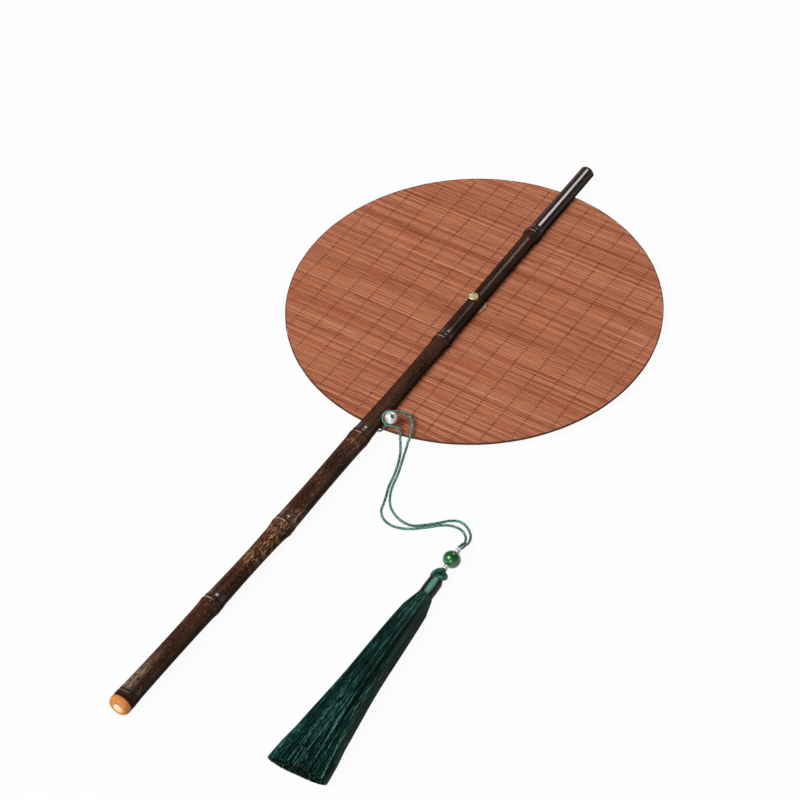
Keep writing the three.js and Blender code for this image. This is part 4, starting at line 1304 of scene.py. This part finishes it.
def strand_rule(unit, count, seed, length, start, points, pivot_height, radius, sway, finish):
    line = unit.shape("CurvePrimitiveLine", End=(1.0, 0.0, 0.0))
    line = line.shape("ResampleCurve", {"mode": "COUNT"}, Curve=line, Count=points)
    roots = unit.shape("MeshLine", Count=count, Offset=(0.0, 0.0, 0.0))
    strands = roots.shape("InstanceOnPoints", Points=roots, Instance=line)
    for shift, (name, (low, high)) in enumerate(strand_chances.items()):
        strands = keep(strands, name, chance(unit, low, high, seed + shift), "INSTANCE")
    real = strands.shape("RealizeInstances", Geometry=strands)
    share, _, _ = split(unit.shape("InputPosition"))
    angle, depth, swing, short = (kept(unit, name) for name in ("angle", "depth", "swing", "short"))
    half_width, low, high = (section_curve(unit, share, column) for column in (1, 2, 3))
    turn = angle + sway * swing * share + (share * 7 + swing * 9).sin() * share * sway * 0.35
    inner = rise(depth, inner_depth, inner_depth + 0.02)
    deep = 1.0 - 0.16 * depth * depth - inner * (depth - inner_depth) * 2.4
    floor = low + radius * 1.1
    up = ((low + high) / 2 + (high - low) / 2 * turn.sin() * 1.08 * deep).at_least(floor)
    along = start + length * share * (1 - 0.012 * short * short)
    place = combine(unit, half_width * turn.cos() * deep, along, up - pivot_height)
    skinned(real, place, 3, radius, finish)


# %% Growing the strands
strand_mesh = grown(
    strand_rule, bpy.data.meshes.new("empty_unit"), count=2000, seed=11, length=skirt_length * mm,
    start=skirt_from * mm, points=13, pivot_height=tassel_pivot.z, radius=0.22 * mm, sway=0.34,
    finish=green_silk_strands,
)
strand_places = beside_tassel(corners_of(strand_mesh) / mm)
strand_mesh.vertices.foreach_set("co", strand_places.astype(np.float32).ravel())
strand_mesh.update()
lay_piece("silk_strands", strand_mesh, green_silk_strands, "tassel", "green_silk", "tassel_skirt")

# %% [markdown]
# ## Floor, lamps and world
# The fan lies on a plain white table. A large key lamp and a low fill stand in front, and a small strip lamp
# behind the handle's tip puts the bright streak on its crown. The room is pale low down and darkens overhead.
# The floor shows white to the camera and keeps the soft shadow.

# %% Floor
floor_reach, floor_drop = 30.0, 0.0003
floor_glow = 0.94


def floor_finish():
    finish = bpy.data.materials.new("white_table")
    finish.use_nodes = True
    finish.node_tree.nodes.clear()
    start = Link(finish.node_tree)
    grey, white = (start.node("ShaderNodeBsdfDiffuse", (), {"Color": (c, c, c, 1)}) for c in (0.4, 0.92))
    glow = start.node("ShaderNodeEmission", (), {"Color": (1, 1, 1, 1), "Strength": 1.0})
    seen = start.node("ShaderNodeLightPath", out="Is Camera Ray")
    straight = seen.at_least(seen.other("Is Glossy Ray")).at_least(seen.other("Is Transmission Ray"))
    shown = start.node("ShaderNodeMixShader", (), {0: floor_glow, 1: white, 2: glow})
    both = start.node("ShaderNodeMixShader", (), {0: straight, 1: grey, 2: shown})
    start.node("ShaderNodeOutputMaterial", (), {"Surface": both})
    return finish


floor_mesh = bpy.data.meshes.new("table_top")
floor_signs = ((-1, -1), (1, -1), (1, 1), (-1, 1))
floor_corners = [(x * floor_reach, y * floor_reach, -floor_drop) for x, y in floor_signs]
floor_mesh.from_pydata(floor_corners, [], [(0, 1, 2, 3)])
floor_mesh.materials.append(floor_finish())
table_top = set_out("table_top", floor_mesh)
print("floor:", 2 * floor_reach, "m across")

# %% Lamps and world
def soft_lamp(name, place, aim, size, watts, tint=(1, 1, 1)):
    lamp = bpy.data.lights.new(name, "AREA")
    lamp.shape = "RECTANGLE"
    lamp.size, lamp.size_y = size
    lamp.energy = watts
    lamp.color = tint
    holder = set_out(name, lamp)
    holder.location = place
    holder.rotation_euler = (Vector(aim) - Vector(place)).to_track_quat("-Z", "Y").to_euler()


def pale_room():
    world = bpy.data.worlds.new("pale_room")
    world.use_nodes = True
    start = Link(world.node_tree)
    _, _, height = split(start.node("ShaderNodeTexCoord", out="Generated"))
    colour = mixed(rise(height, 0.5, 0.05), (0.14, 0.14, 0.14, 1), (0.6, 0.6, 0.6, 1))
    start.join(world.node_tree.nodes["Background"].inputs["Color"], colour)
    return world


soft_lamp("key_lamp", (-1.09, -1.74, 2.19), (0, -0.1, 0), (1.6, 1.6), 60)
soft_lamp("fill_lamp", (0.5, -2.2, 0.7), (0, -0.3, 0), (1.0, 1.0), 12)
soft_lamp("strip_lamp", (0.05, 1.05, 1.17), (0, 0.05, 0), (0.7, 0.2), 5.5, (1, 0.95, 0.91))
scene.world = pale_room()
scene.view_settings.view_transform = "Standard"
print("a key lamp and a low fill in front, a strip lamp behind, and a room that darkens overhead")
